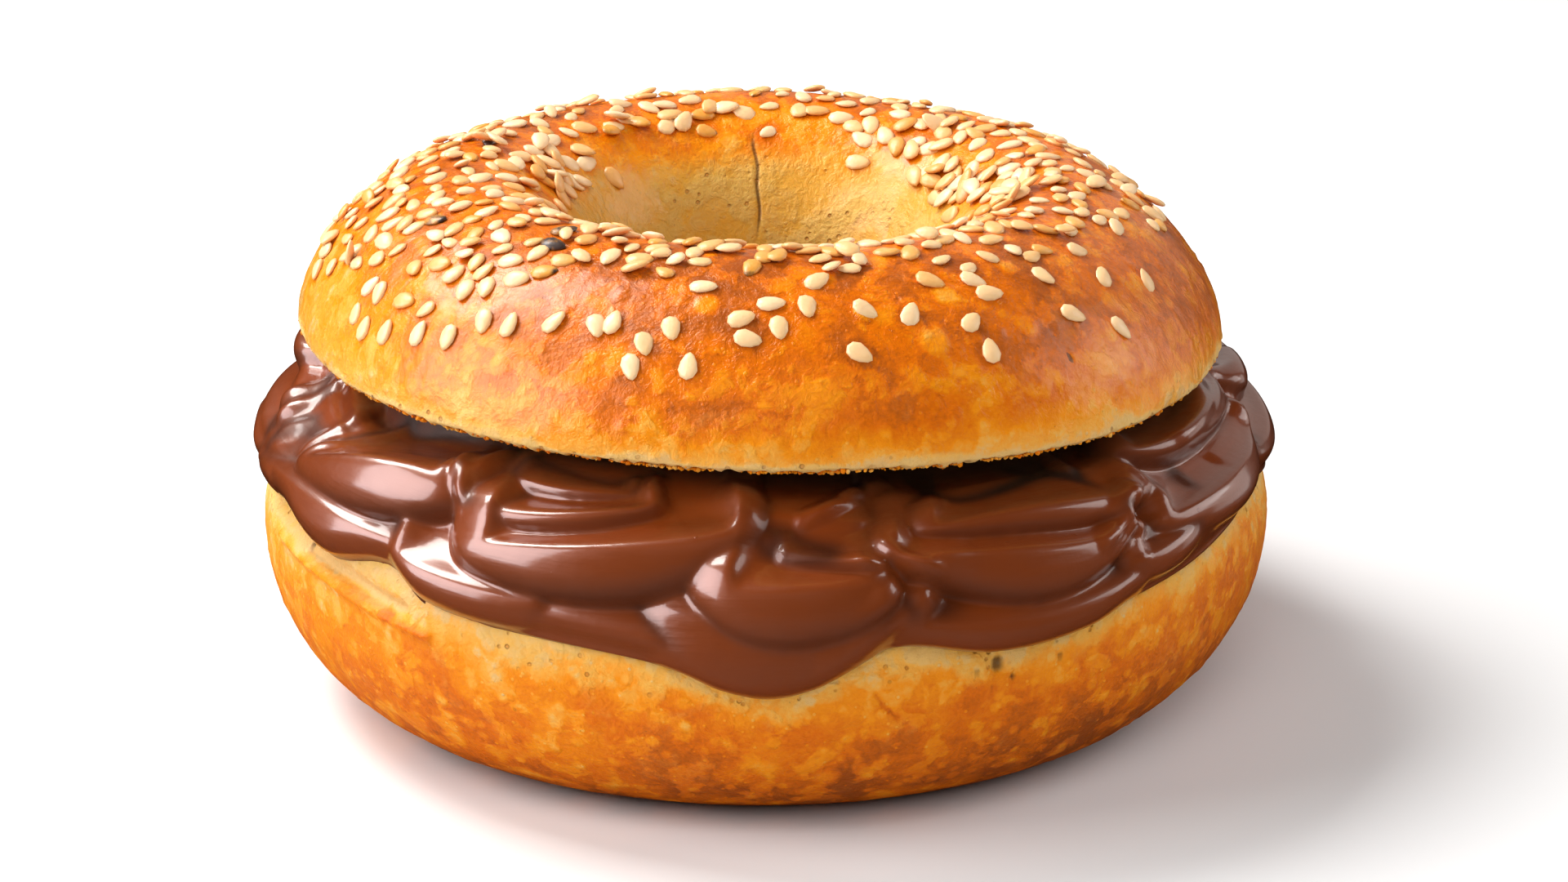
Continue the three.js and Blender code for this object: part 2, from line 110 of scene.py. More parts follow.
def azimuth_gap(azimuth: Grid | float, other: float) -> Grid:
    """Returns the signed angle from another azimuth, within half a turn."""
    return (np.asarray(azimuth) - other + math.pi) % TURN - math.pi


def superellipse(
    width: Grid | float, height: Grid | float, power: Grid | float, angle: Grid
) -> tuple[Grid, Grid]:
    """Point of a superellipse about the origin.

    Args:
        width: Its half width, which may be below zero.
        height: Its half height.
        power: 2 for an ellipse, more for a squarer form.
        angle: Counted from the end of the width.

    Returns:
        Distances across and up.
    """
    reach = np.abs(np.cos(angle)) ** (2.0 / power)
    climb = np.abs(np.sin(angle)) ** (2.0 / power)
    return width * reach, height * climb


def waves(azimuth: Grid, table: tuple[tuple[int, float, float], ...]) -> Grid:
    """Slow unevenness round a ring.

    Args:
        azimuth: Where it is read.
        table: Waves in a turn, size and phase in degrees of each wave.

    Returns:
        The sum of the waves.
    """
    return sum(size * np.sin(count * azimuth + math.radians(phase)) for count, size, phase in table)


def soften(values: Grid, passes: int) -> Grid:
    """Evens out the steps of a grid.

    Args:
        values: Numbers by azimuth and by station.
        passes: How many times each is averaged with its neighbours.

    Returns:
        The softened numbers.
    """
    for _ in range(passes):
        values = 0.5 * values + 0.25 * (np.roll(values, 1, axis=0) + np.roll(values, -1, axis=0))
        padded = np.pad(values, ((0, 0), (1, 1)), mode="edge")
        values = 0.5 * values + 0.25 * (padded[:, 2:] + padded[:, :-2])
    return values


def place(azimuth: Grid | float, radius: Grid | float, height: Grid | float) -> Grid:
    """Returns points at an azimuth, radius and height, with x, y and z on the last axis."""
    x = radius * np.sin(azimuth)
    y = -radius * np.cos(azimuth)
    return np.stack(np.broadcast_arrays(x, y, height), axis=-1)


@dataclass(frozen=True)
class Ripple:
    """Seeded unevenness round a ring, as a sum of sine waves with random sizes and phases."""

    size: float
    fewest: int
    most: int
    seed: int

    def at(self, azimuth: Grid) -> Grid:
        """Returns the unevenness at azimuths, mostly within plus and minus size."""
        random = np.random.default_rng(self.seed)
        counts = np.arange(self.fewest, self.most + 1)
        phases = random.uniform(0.0, TURN, counts.size)
        weights = random.normal(0.0, 1.0, counts.size)
        total = sum(w * np.sin(n * azimuth + p) for n, p, w in zip(counts, phases, weights))
        return self.size * total / math.sqrt(float(np.sum(weights**2)))


@dataclass(frozen=True)
class RoundCurve:
    """Smooth curve through values at azimuths, which repeats after a turn."""

    points: tuple[Pair, ...]

    def at(self, azimuth: Grid) -> Grid:
        """Reads the curve.

        Args:
            azimuth: Where it is read.

        Returns:
            Its values, by cubic pieces whose slopes follow their neighbours.
        """
        knots = np.radians([degrees for degrees, _ in self.points])
        values = np.array([value for _, value in self.points])
        x = np.concatenate([knots[-2:] - TURN, knots, knots[:3] + TURN])
        y = np.concatenate([values[-2:], values, values[:3]])
        slopes = (y[2:] - y[:-2]) / (x[2:] - x[:-2])
        wrapped = (np.asarray(azimuth) - knots[0]) % TURN + knots[0]
        k = np.clip(np.searchsorted(x, wrapped, side="right") - 1, 1, x.size - 3)
        span = x[k + 1] - x[k]
        t = (wrapped - x[k]) / span
        start, end = slopes[k - 1] * span, slopes[k] * span
        rise = (3.0 - 2.0 * t) * t * t
        return lerp(y[k], y[k + 1], rise) + (t - 1.0) * t * ((t - 1.0) * start + t * end)


# ---- Meshes ----


@dataclass(frozen=True)
class Layout:
    """How the pieces stand to each other."""

    hole: Pair = (0.1, 0.8)  # middle of the hole
    gap: float = 0.35  # between pieces that lie on each other
    bottom_cut: float = 26.5  # height of the lower half's cut face
    top_cut: float = 38.35  # height of the upper half's cut face
    top_middle: Pair = (-0.3, -0.3)  # of the upper half, from the middle of the hole
    tilt_degrees: float = 1.35  # lifts the left side of the upper half

    @property
    def spread_span(self) -> Pair:
        """Heights of the spread's underside and of its flat top."""
        return self.bottom_cut + self.gap, self.top_cut - self.gap

    def settled(self, points: Grid) -> Grid:
        """Returns points of the bagel as they lie about the middle of the footprint."""
        return points + np.array([*self.hole, 0.0])

    def seated(self, points: Grid) -> Grid:
        """Returns points of the upper half, whose cut face is at height 0, where they lie."""
        turn = np.array(Matrix.Rotation(math.radians(self.tilt_degrees), 3, "Y"))
        return self.settled(points @ turn.T + np.array([*self.top_middle, self.top_cut]))

    def askew(self, x: Grid, height: Grid) -> Grid:
        """How much the upper half, which lies askew, lifts or presses the spread.

        Args:
            x: Distance to the right of the middle of the hole.
            height: Height above the table.

        Returns:
            The change of height.
        """
        lean = -math.tan(math.radians(self.tilt_degrees)) * (x - self.top_middle[0])
        return lean * np.clip((height - self.bottom_cut) / (self.top_cut - self.bottom_cut), 0.0, 1.0)


LAYOUT = Layout()


def link(name: str, mesh: bpy.types.Mesh) -> bpy.types.Object:
    """Returns a new object of a mesh, linked to the scene."""
    piece = bpy.data.objects.new(name, mesh)
    bpy.context.scene.collection.objects.link(piece)
    return piece


def add_marks(mesh: bpy.types.Mesh, marks: dict[str, Grid]) -> None:
    """Keeps values at the corners of a mesh.

    Args:
        mesh: The mesh.
        marks: Each value's name, and one number or one vector for each corner.
    """
    for name, values in marks.items():
        is_vector = values.shape[-1] == 3 and values.ndim > 1 and values.size == 3 * len(mesh.vertices)
        kind, field = ("FLOAT_VECTOR", "vector") if is_vector else ("FLOAT", "value")
        layer = mesh.attributes.new(name, kind, "POINT")
        layer.data.foreach_set(field, np.ascontiguousarray(values, dtype=np.float32).ravel())


def ring_mesh(name: str, points: Grid, marks: dict[str, Grid]) -> bpy.types.Mesh:
    """Closed ring of quads.

    Args:
        name: Name of the mesh.
        points: Corners in millimetres, by azimuth and by station of the outline.
        marks: Values kept at the corners.

    Returns:
        The mesh, smooth, with its faces outwards.
    """
    steps, count = points.shape[:2]
    here = np.arange(steps)[:, None] * count
    ahead = (np.arange(steps)[:, None] + 1) % steps * count
    this, that = np.arange(count)[None, :], (np.arange(count)[None, :] + 1) % count
    corners = np.stack([here + this, here + that, ahead + that, ahead + this], axis=-1).ravel()
    mesh = bpy.data.meshes.new(name)
    mesh.vertices.add(steps * count)
    mesh.vertices.foreach_set("co", (points * MM).astype(np.float32).ravel())
    mesh.loops.add(corners.size)
    mesh.loops.foreach_set("vertex_index", corners.astype(np.int32))
    mesh.polygons.add(corners.size // 4)
    mesh.polygons.foreach_set("loop_start", np.arange(0, corners.size, 4, dtype=np.int32))
    mesh.polygons.foreach_set("use_smooth", np.ones(corners.size // 4, dtype=bool))
    mesh.update(calc_edges=True)
    add_marks(mesh, marks)
    return mesh


def point_mesh(name: str, points: Grid, marks: dict[str, Grid]) -> bpy.types.Mesh:
    """Loose points that a node tree puts shapes on.

    Args:
        name: Name of the mesh.
        points: Places in millimetres.
        marks: Values kept at the points.

    Returns:
        The mesh, without edges or faces.
    """
    mesh = bpy.data.meshes.new(name)
    mesh.vertices.add(len(points))
    mesh.vertices.foreach_set("co", (points * MM).astype(np.float32).ravel())
    mesh.update()
    add_marks(mesh, marks)
    return mesh


def settle(piece: bpy.types.Object) -> bpy.types.Object:
    """Turns what an object's node tree makes into its own plain mesh.

    Args:
        piece: Object with a live modifier.

    Returns:
        The same object, with no modifier.
    """
    graph = bpy.context.evaluated_depsgraph_get()
    done = bpy.data.meshes.new_from_object(
        piece.evaluated_get(graph), preserve_all_data_layers=True, depsgraph=graph
    )
    piece.modifiers.clear()
    piece.data = done
    return piece


def enlist(piece: bpy.types.Object, node: Node, slot: Slot) -> bpy.types.Object:
    """Makes a piece part of the bagel.

    Args:
        piece: The finished piece.
        node: The CAD solid that it stands for.
        slot: The record's slot that its finish comes from; it is not used.

    Returns:
        The piece.
    """
    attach(piece, BODY)
    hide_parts(node.value)
    LOG.info("%s: %d faces", piece.name, len(piece.data.polygons))
    return piece


# ---- Node trees ----


class Value:
    """Output socket with arithmetic: each operator adds a Math node to its tree."""

    def __init__(self, bench: Bench, socket: bpy.types.NodeSocket) -> None:
        """Wraps a socket of a bench's tree."""
        self.bench = bench
        self.socket = socket

    def _math(self, operation: str, *operands: Value | float) -> Value:
        """Adds one Math node.

        Args:
            operation: What it does.
            operands: What goes into it, in order.

        Returns:
            Its result.
        """
        inputs = dict(enumerate(operands))
        return self.bench.make("ShaderNodeMath", {"operation": operation}, inputs)

    def __add__(self, other: Value | float) -> Value:
        """Returns self + other."""
        return self._math("ADD", self, other)

    __radd__ = __add__

    def __sub__(self, other: Value | float) -> Value:
        """Returns self - other."""
        return self._math("SUBTRACT", self, other)

    def __rsub__(self, other: Value | float) -> Value:
        """Returns other - self."""
        return self._math("SUBTRACT", other, self)

    def __mul__(self, other: Value | float) -> Value:
        """Returns self * other."""
        return self._math("MULTIPLY", self, other)

    __rmul__ = __mul__

    def at_most(self, other: Value | float) -> Value:
        """Returns the smaller of two values."""
        return self._math("MINIMUM", self, other)

    def at_least(self, other: Value | float) -> Value:
        """Returns the larger of two values."""
        return self._math("MAXIMUM", self, other)

    def step(self, low: float, high: float) -> Value:
        """Returns a smooth step from 0 at low to 1 at high."""
        settings = {"interpolation_type": "SMOOTHSTEP"}
        inputs = {"Value": self, "From Min": low, "From Max": high, "To Min": 0.0, "To Max": 1.0}
        return self.bench.make("ShaderNodeMapRange", settings, inputs)


@dataclass(frozen=True)
class Cloud:
    """Smooth noise."""

    size: float  # of its largest features
    detail: float = 2.0  # how many finer layers it has
    rough: float = 0.5  # how strong they are
    warp: float = 0.0  # how far it is bent by itself


@dataclass(frozen=True)
class Spots:
    """Round spots scattered at random."""

    spacing: float  # mean distance between places for a spot
    radius: float  # of the largest
    share: float  # of those places that has one
    soft: float = 0.5  # share of the radius over which a spot fades out


class Bench:
    """Places nodes in one tree and links them."""

    def __init__(self, tree: bpy.types.NodeTree) -> None:
        """Starts on a tree."""
        self.tree = tree

    @staticmethod
    def _socket(sockets: bpy.types.NodeInputs, key: int | str) -> bpy.types.NodeSocket:
        """Finds a socket.

        Args:
            sockets: A node's inputs or outputs.
            key: Its place, identifier or name.

        Returns:
            The socket.
        """
        if isinstance(key, int):
            return sockets[key]
        return next((socket for socket in sockets if socket.identifier == key), None) or sockets[key]

    def feed(self, socket: bpy.types.NodeSocket, value: Value | float | str | tuple) -> None:
        """Links a value to an input socket, or sets it there.

        Args:
            socket: The input.
            value: What goes in; a colour may have three numbers.
        """
        if isinstance(value, Value):
            self.tree.links.new(value.socket, socket)
        elif socket.type == "RGBA" and len(value) == 3:
            socket.default_value = (*value, 1.0)
        else:
            socket.default_value = value

    def make(
        self,
        kind: str,
        settings: dict[str, object] | None = None,
        inputs: dict[int | str, object] | None = None,
        out: int | str | None = None,
    ) -> Value:
        """Adds one node.

        Args:
            kind: Its type.
            settings: Its own settings, set first; "stops" gives the stops of a colour ramp.
            inputs: What goes into its sockets, by place, identifier or name.
            out: The output that is wanted; the first that is in use when left out.

        Returns:
            That output.
        """
        node = self.tree.nodes.new(kind)
        for name, setting in (settings or {}).items():
            if name == "stops":
                self._set_stops(node, setting)
            else:
                setattr(node, name, setting)
        for key, value in (inputs or {}).items():
            self.feed(self._socket(node.inputs, key), value)
        if out is None:
            return Value(self, next(socket for socket in node.outputs if socket.enabled))
        return Value(self, self._socket(node.outputs, out))

    @staticmethod
    def _set_stops(node: bpy.types.Node, stops: list[tuple[float, Color]]) -> None:
        """Sets the stops of a colour ramp, given as places and colours."""
        elements = node.color_ramp.elements
        while len(elements) < len(stops):
            elements.new(1.0)
        for element, (position, color) in zip(elements, stops):
            element.position = position
            element.color = (*color, 1.0)

    def vector(self, operation: str, first: Value, second: Value | tuple | float) -> Value:
        """Adds one Vector Math node.

        Args:
            operation: What it does.
            first: Its first vector.
            second: Its second vector, or the number it scales by.

        Returns:
            Its result.
        """
        other: int | str = "Scale" if operation == "SCALE" else 1
        return self.make("ShaderNodeVectorMath", {"operation": operation}, {0: first, other: second})

    def mix(self, share: Value | float, first: Value | Color, second: Value | Color) -> Value:
        """Mixes two colours.

        Args:
            share: How much of the second shows.
            first: The colour underneath.
            second: The colour on top.

        Returns:
            The mixed colour.
        """
        settings = {"data_type": "RGBA", "blend_type": "MIX", "clamp_factor": True}
        inputs = {"Factor_Float": share, "A_Color": first, "B_Color": second}
        return self.make("ShaderNodeMix", settings, inputs, out="Result_Color")

    def ramp(self, value: Value, stops: list[tuple[float, Color]]) -> Value:
        """Returns a colour read from stops at a value."""
        return self.make("ShaderNodeValToRGB", {"stops": stops}, {"Fac": value}, out="Color")

    def noise(self, where: Value, cloud: Cloud) -> Value:
        """Smooth noise.

        Args:
            where: Place in millimetres.
            cloud: Its sizes.

        Returns:
            Numbers about 0.5.
        """
        inputs = {
            "Vector": where,
            "Scale": 1.0 / cloud.size,
            "Detail": cloud.detail,
            "Roughness": cloud.rough,
            "Distortion": cloud.warp,
        }
        return self.make("ShaderNodeTexNoise", {}, inputs, out=0)

    def spots(self, where: Value, spots: Spots) -> Value:
        """Round spots scattered at random.

        Args:
            where: Place in millimetres.
            spots: Their sizes.

        Returns:
            1 inside a spot and 0 outside.
        """
        inputs = {"Vector": where, "Scale": 1.0 / spots.spacing}
        distance = self.make("ShaderNodeTexVoronoi", {"feature": "F1"}, inputs, out="Distance")
        cell = self.make("ShaderNodeTexVoronoi", {"feature": "F1"}, inputs, out="Color")
        chance = self.make("ShaderNodeSeparateXYZ", {}, {0: cell}, out=0)
        reach = spots.radius / spots.spacing
        fade = 1.0 - distance.step(reach * (1.0 - spots.soft), reach)
        return fade * (1.0 - chance.step(spots.share, spots.share + 0.02))


class GeometryBench(Bench):
    """Builds a geometry node tree with named inputs, and runs it on an object."""

    def __init__(self, name: str, sizes: dict[str, float]) -> None:
        """Starts a tree.

        Args:
            name: Name of the tree.
            sizes: Its named inputs.
        """
        super().__init__(bpy.data.node_groups.new(name, "GeometryNodeTree"))
        self.sizes = sizes
        self.identifiers: dict[str, str] = {}
        face = self.tree.interface
        face.new_socket(name="Geometry", in_out="INPUT", socket_type="NodeSocketGeometry")
        for size in sizes:
            socket = face.new_socket(name=size, in_out="INPUT", socket_type="NodeSocketFloat")
            self.identifiers[size] = socket.identifier
        face.new_socket(name="Geometry", in_out="OUTPUT", socket_type="NodeSocketGeometry")
        self.entry = self.tree.nodes.new("NodeGroupInput")

    def given(self, name: str) -> Value:
        """Returns one of the tree's inputs."""
        return Value(self, self.entry.outputs[name])

    def mark(self, name: str, kind: str = "FLOAT") -> Value:
        """Returns a value kept at the corners."""
        return self.make("GeometryNodeInputNamedAttribute", {"data_type": kind}, {"Name": name})

    def spot(self) -> Value:
        """Returns the place of each corner in millimetres."""
        return self.vector("SCALE", self.make("GeometryNodeInputPosition"), 1.0 / MM)

    def push(self, geometry: Value, height: Value) -> Value:
        """Returns a geometry pushed outwards by a height in millimetres."""
        offset = self.vector("SCALE", self.make("GeometryNodeInputNormal"), height * MM)
        return self.make("GeometryNodeSetPosition", {}, {"Geometry": geometry, "Offset": offset})

    def close(self, geometry: Value, finish: bpy.types.Material) -> None:
        """Ends the tree.

        Args:
            geometry: What it made.
            finish: The material that it gets.
        """
        real = self.make("GeometryNodeRealizeInstances", {}, {0: geometry})
        dressed = self.make("GeometryNodeSetMaterial", {}, {"Geometry": real, "Material": finish})
        leave = self.tree.nodes.new("NodeGroupOutput")
        self.tree.links.new(dressed.socket, leave.inputs[0])

    def run(self, piece: bpy.types.Object) -> bpy.types.Object:
        """Runs the tree on an object.

        Args:
            piece: The object that it starts from.

        Returns:
            The object, with the result as its plain mesh.
        """
        modifier = piece.modifiers.new(self.tree.name, "NODES")
        modifier.node_group = self.tree
        for name, size in self.sizes.items():
            modifier[self.identifiers[name]] = size
        return settle(piece)


class ShaderBench(Bench):
    """Builds a material round one Principled shader."""

    def __init__(self, name: str) -> None:
        """Starts a material with a bare shader."""
        self.material = bpy.data.materials.new(name)
        self.material.use_nodes = True
        super().__init__(self.material.node_tree)
        self.shader = self.tree.nodes["Principled BSDF"]

    def set(self, **constants: object) -> None:
        """Sets or links sockets of the shader, named in lower case with underscores."""
        for words, value in constants.items():
            self.feed(self.shader.inputs[words.replace("_", " ").title().replace("Ior", "IOR")], value)

    def spot(self) -> Value:
        """Returns the place on the piece in millimetres."""
        where = self.make("ShaderNodeTexCoord", {}, {}, out="Object")
        return self.make("ShaderNodeMapping", {}, {"Vector": where, "Scale": (1.0 / MM,) * 3})

    def mark(self, name: str, out: str = "Fac") -> Value:
        """Returns a value kept at the corners."""
        return self.make("ShaderNodeAttribute", {"attribute_name": name}, {}, out=out)

    def bump(self, height: Value) -> Value:
        """Returns a normal bent by a height in millimetres."""
        inputs = {"Height": height, "Distance": MM, "Strength": 1.0}
        return self.make("ShaderNodeBump", {}, inputs, out="Normal")


# ---- Finishes ----


@dataclass(frozen=True)
class CrustFinish:
    """Baked crust that goes from pale crumb over yellow and orange to brown.

    The piece gives how far it is baked, from 0 to 1, as its mark "bake", its cut and torn places as
    "crumb", the steamed wall of the hole as "wall", whose colour is partly the wall's own tone and
    partly painted shade inside the hole, and dark cracks as "crack".
    """

    name: str
    roughness: float = 0.42
    gloss: float = 0.35
    coat: float = 0.2
    coat_roughness: float = 0.22
    mottle: float = 0.24  # how much the bake varies from place to place
    scorch: float = 0.12  # how much darker small patches are
    blisters: float = 0.5  # how clearly small blisters show
    broad: Cloud = Cloud(13.0)
    patch: Cloud = Cloud(6.0, 4.0, 0.5, 0.4)
    flake: Cloud = Cloud(3.4, 4.0, 0.55, 0.3)
    fine: Cloud = Cloud(1.1, 3.0, 0.6)
    grain: Cloud = Cloud(0.38, 2.0, 0.6)
    wrinkle: Cloud = Cloud(1.7, 4.0, 0.55, 1.6)
    scorched: Cloud = Cloud(2.8, 3.0, 0.6, 1.2)
    glaze: Spots = Spots(5.5, 1.9, 0.42, 0.8)
    blister: Spots = Spots(2.7, 0.95, 0.42)
    bead: Spots = Spots(1.0, 0.24, 0.35)
    scale: Spots = Spots(1.9, 0.80, 0.5, 0.6)
    fleck: Spots = Spots(3.1, 0.26, 0.22, 0.4)
    speck: Spots = Spots(1.3, 0.12, 0.25)
    pit: Spots = Spots(1.15, 0.32, 0.5)
    cream: Color = (0.70, 0.42, 0.15)
    yellow: Color = (0.80, 0.36, 0.05)
    gold: Color = (0.80, 0.25, 0.004)
    orange: Color = (0.66, 0.135, 0.001)
    brown: Color = (0.34, 0.068, 0.004)
    # the wall's own tone, darkened in part as painted shade inside the hole
    wall: Color = (0.60, 0.32, 0.04)
    pith: Color = (0.66, 0.42, 0.13)
    char: Color = (0.075, 0.024, 0.008)
    sheen: Color = (1.0, 0.72, 0.42)

    def material(self) -> bpy.types.Material:
        """Returns the material."""
        bench = ShaderBench(self.name)
        spot = bench.spot()
        broad, fine, grain, wrinkle = (
            bench.noise(spot, cloud) for cloud in (self.broad, self.fine, self.grain, self.wrinkle)
        )
        patch = bench.noise(spot, self.patch).step(0.32, 0.68)
        flake = bench.noise(spot, self.flake).step(0.50, 0.60)
        scorch = bench.noise(spot, self.scorched).step(0.58, 0.74)
        glaze, blister, bead, scale = (
            bench.spots(spot, spots) for spots in (self.glaze, self.blister, self.bead, self.scale)
        )
        crumb = (bench.mark("crumb") + (patch - 0.5) * 0.8 + (fine - 0.5) * 0.6).step(0.25, 0.75)
        given = bench.mark("bake")
        depth = given.step(0.0, 0.5)
        uneven = ((broad - 0.5) * 1.5 + (patch - 0.5) - (flake - 0.4) * 0.8) * self.mottle
        uneven = uneven + scorch * self.scorch - glaze * 0.25
        lighter = (blister * 0.20 + bead * 0.30 + scale * 0.24) * self.blisters + crumb * 0.24
        grit = (fine - 0.5) * 0.26 + (grain - 0.5) * 0.24
        bake = given + uneven * (0.55 + 0.45 * depth) + grit - lighter
        stops = [
            (0.0, self.cream),
            (0.2, self.yellow),
            (0.45, self.gold),
            (0.74, self.orange),
            (1.0, self.brown),
        ]
        # the wall of the hole takes the wall colour, which is partly painted shade
        baked = bench.mix(bench.mark("wall") * (0.6 + 0.4 * patch), bench.ramp(bake, stops), self.wall)
        fleck = bench.spots(spot, self.fleck) * (0.35 + 0.65 * crumb)
        speck = bench.spots(spot, self.speck)
        pit = bench.spots(spot, self.pit) * crumb
        pith = crumb * (0.1 + fine) * (1.0 - given).at_least(0.0)
        dark = (fleck * 0.8 + speck * 0.4 + bench.mark("crack").step(0.2, 0.6)).at_most(1.0)
        color = bench.mix(pith, baked, self.pith)
        color = bench.mix(pit * 0.45, bench.mix(dark * 0.8, color, self.char), self.brown)
        raised = glaze * 0.10 + (blister * 0.10 + scale * 0.05) * self.blisters + bead * 0.045
        rough = wrinkle * 0.22 + fine * (0.12 + 0.14 * crumb) + grain * 0.07 + flake * 0.06
        height = raised + rough - fleck * 0.14 - pit * 0.22
        bench.set(
            base_color=color,
            roughness=crumb * 0.25 + self.roughness + (patch - 0.5) * 0.16,
            specular_ior_level=self.gloss,
            specular_tint=(*self.sheen, 1.0),
            coat_weight=(1.0 - crumb).at_least(0.0) * self.coat,
            coat_roughness=self.coat_roughness,
            subsurface_weight=0.10,
            subsurface_radius=(1.0, 0.45, 0.2),
            subsurface_scale=1.6 * MM,
            normal=bench.bump(height),
        )
        return bench.material


@dataclass(frozen=True)
class SpreadFinish:
    """Glossy chocolate spread with painted shade in its creases, redder where it lies thin and smooth.
    """

    name: str
    roughness: float = 0.34
    coat: float = 0.85
    # colour of the painted shade in the creases and under the upper half
    crease_shade: Color = (0.014, 0.003, 0.001)
    deep: Color = (0.178, 0.034, 0.006)
    warm: Color = (0.235, 0.040, 0.004)
    sheen: Color = (1.0, 0.76, 0.66)
    stretch: Triple = (0.12, 0.12, 1.1)  # of the streaks, along and across the flow
    streak: Cloud = Cloud(1.0, 3.0, 0.55)
    cloud: Cloud = Cloud(7.0)
    fine: Cloud = Cloud(1.4, 3.0, 0.55)
    bubble: Spots = Spots(3.4, 0.24, 0.18, 0.4)

    def material(self) -> bpy.types.Material:
        """Returns the material."""
        bench = ShaderBench(self.name)
        spot = bench.spot()
        flow = bench.mark("flow", out="Vector")
        stretched = bench.make("ShaderNodeMapping", {}, {"Vector": flow, "Scale": self.stretch})
        streak = bench.noise(stretched, self.streak)
        cloud = bench.noise(spot, self.cloud)
        fine = bench.noise(spot, self.fine)
        bubble = bench.spots(spot, self.bubble)
        warmth = (bench.mark("dish") * 0.75 + (cloud - 0.5) * 0.7 + (streak - 0.5) * 0.5).step(-0.1, 0.9)
        smooth = bench.mix(warmth, self.deep, self.warm)
        # painted shade: the creases and the spread under the upper half turn dark, rougher and with less
        # coat
        dark = (bench.mark("crease_shade") * 0.8 + bench.mark("shade")).at_most(1.0)
        bench.set(
            base_color=bench.mix(dark, smooth, self.crease_shade),
            roughness=self.roughness + (fine - 0.5) * 0.14 + (cloud - 0.5) * 0.14 + dark * 0.2,
            specular_ior_level=0.5,
            specular_tint=(*self.sheen, 1.0),
            coat_weight=(1.0 - dark * 0.9) * self.coat,
            coat_roughness=0.13,
            subsurface_weight=0.04,
            subsurface_radius=(1.0, 0.4, 0.2),
            subsurface_scale=1.2 * MM,
            normal=bench.bump(streak * 0.07 + fine * 0.035 + bubble * 0.05),
        )
        return bench.material


@dataclass(frozen=True)
class SeedFinish:
    """Sesame seeds: cream, and toasted by their mark "tone", from 0 to 1."""

    name: str
    pale: Color = (0.88, 0.62, 0.36)
    cream: Color = (0.84, 0.49, 0.20)
    toasted: Color = (0.72, 0.31, 0.04)
    burnt: Color = (0.045, 0.024, 0.018)
    fine: Cloud = Cloud(0.7)

    def material(self) -> bpy.types.Material:
        """Returns the material."""
        bench = ShaderBench(self.name)
        spot = bench.spot()
        fine = bench.noise(spot, self.fine)
        tone = bench.mark("tone") + (fine - 0.5) * 0.2 + bench.mark("tip") * 0.12
        stops = [(0.0, self.pale), (0.5, self.cream), (0.85, self.toasted), (0.97, self.burnt)]
        bench.set(
            base_color=bench.ramp(tone, stops),
            roughness=0.36 + fine * 0.15,
            coat_weight=0.12,
            coat_roughness=0.25,
            subsurface_weight=0.15,
            subsurface_radius=(1.0, 0.6, 0.35),
            subsurface_scale=0.8 * MM,
            normal=bench.bump(fine * 0.06),
        )
        return bench.material


@dataclass(frozen=True)
class FloorFinish:
    """Plain pale tabletop."""

    name: str = "table_pale"
    color: Color = (0.80, 0.80, 0.80)

    def material(self) -> bpy.types.Material:
        """Returns the material."""
        bench = ShaderBench(self.name)
        bench.set(base_color=self.color, roughness=0.8, specular_ior_level=0.0)
        return bench.material


# ---- Relief and scattered shapes, by geometry nodes ----


@dataclass(frozen=True)
class CrustRelief:
    """Low relief of a crust: broad swells, small blisters, a fine grain and pores, in millimetres.

    The piece says how strongly it takes the relief with its mark "relief", and the pores with "crumb".
    """

    swell: float = 0.26
    blister: float = 0.16
    grain: float = 0.10
    pore: float = 0.35
    swells: Cloud = Cloud(9.0)
    blisters: Spots = Spots(2.9, 1.218, 0.5, 1.0)
    grains: Cloud = Cloud(1.3)
    pores: Spots = Spots(1.7, 0.612, 0.3, 0.8)

    def shape(self, piece: bpy.types.Object, finish: bpy.types.Material) -> bpy.types.Object:
        """Lays the relief on a piece.

        Args:
            piece: The smooth piece.
            finish: Its material.

        Returns:
            The piece, as a plain mesh.
        """
        sizes = {"Swell": self.swell, "Blister": self.blister, "Grain": self.grain, "Pore": self.pore}
        bench = GeometryBench("crust_relief", sizes)
        spot = bench.spot()
        swell = (bench.noise(spot, self.swells) - 0.5) * 2.0 * bench.given("Swell")
        blister = bench.spots(spot, self.blisters) * bench.given("Blister")
        grain = (bench.noise(spot, self.grains) - 0.5) * 2.0 * bench.given("Grain")
        pore = bench.spots(spot, self.pores) * bench.given("Pore")
        height = (swell + blister + grain) * bench.mark("relief") - pore * bench.mark("crumb")
        bench.close(bench.push(bench.given("Geometry"), height), finish)
        return bench.run(piece)


class Grain(Enum):
    """Small shapes that lie scattered on the bread."""

    SEED = "seed"
    CRUMB = "crumb"


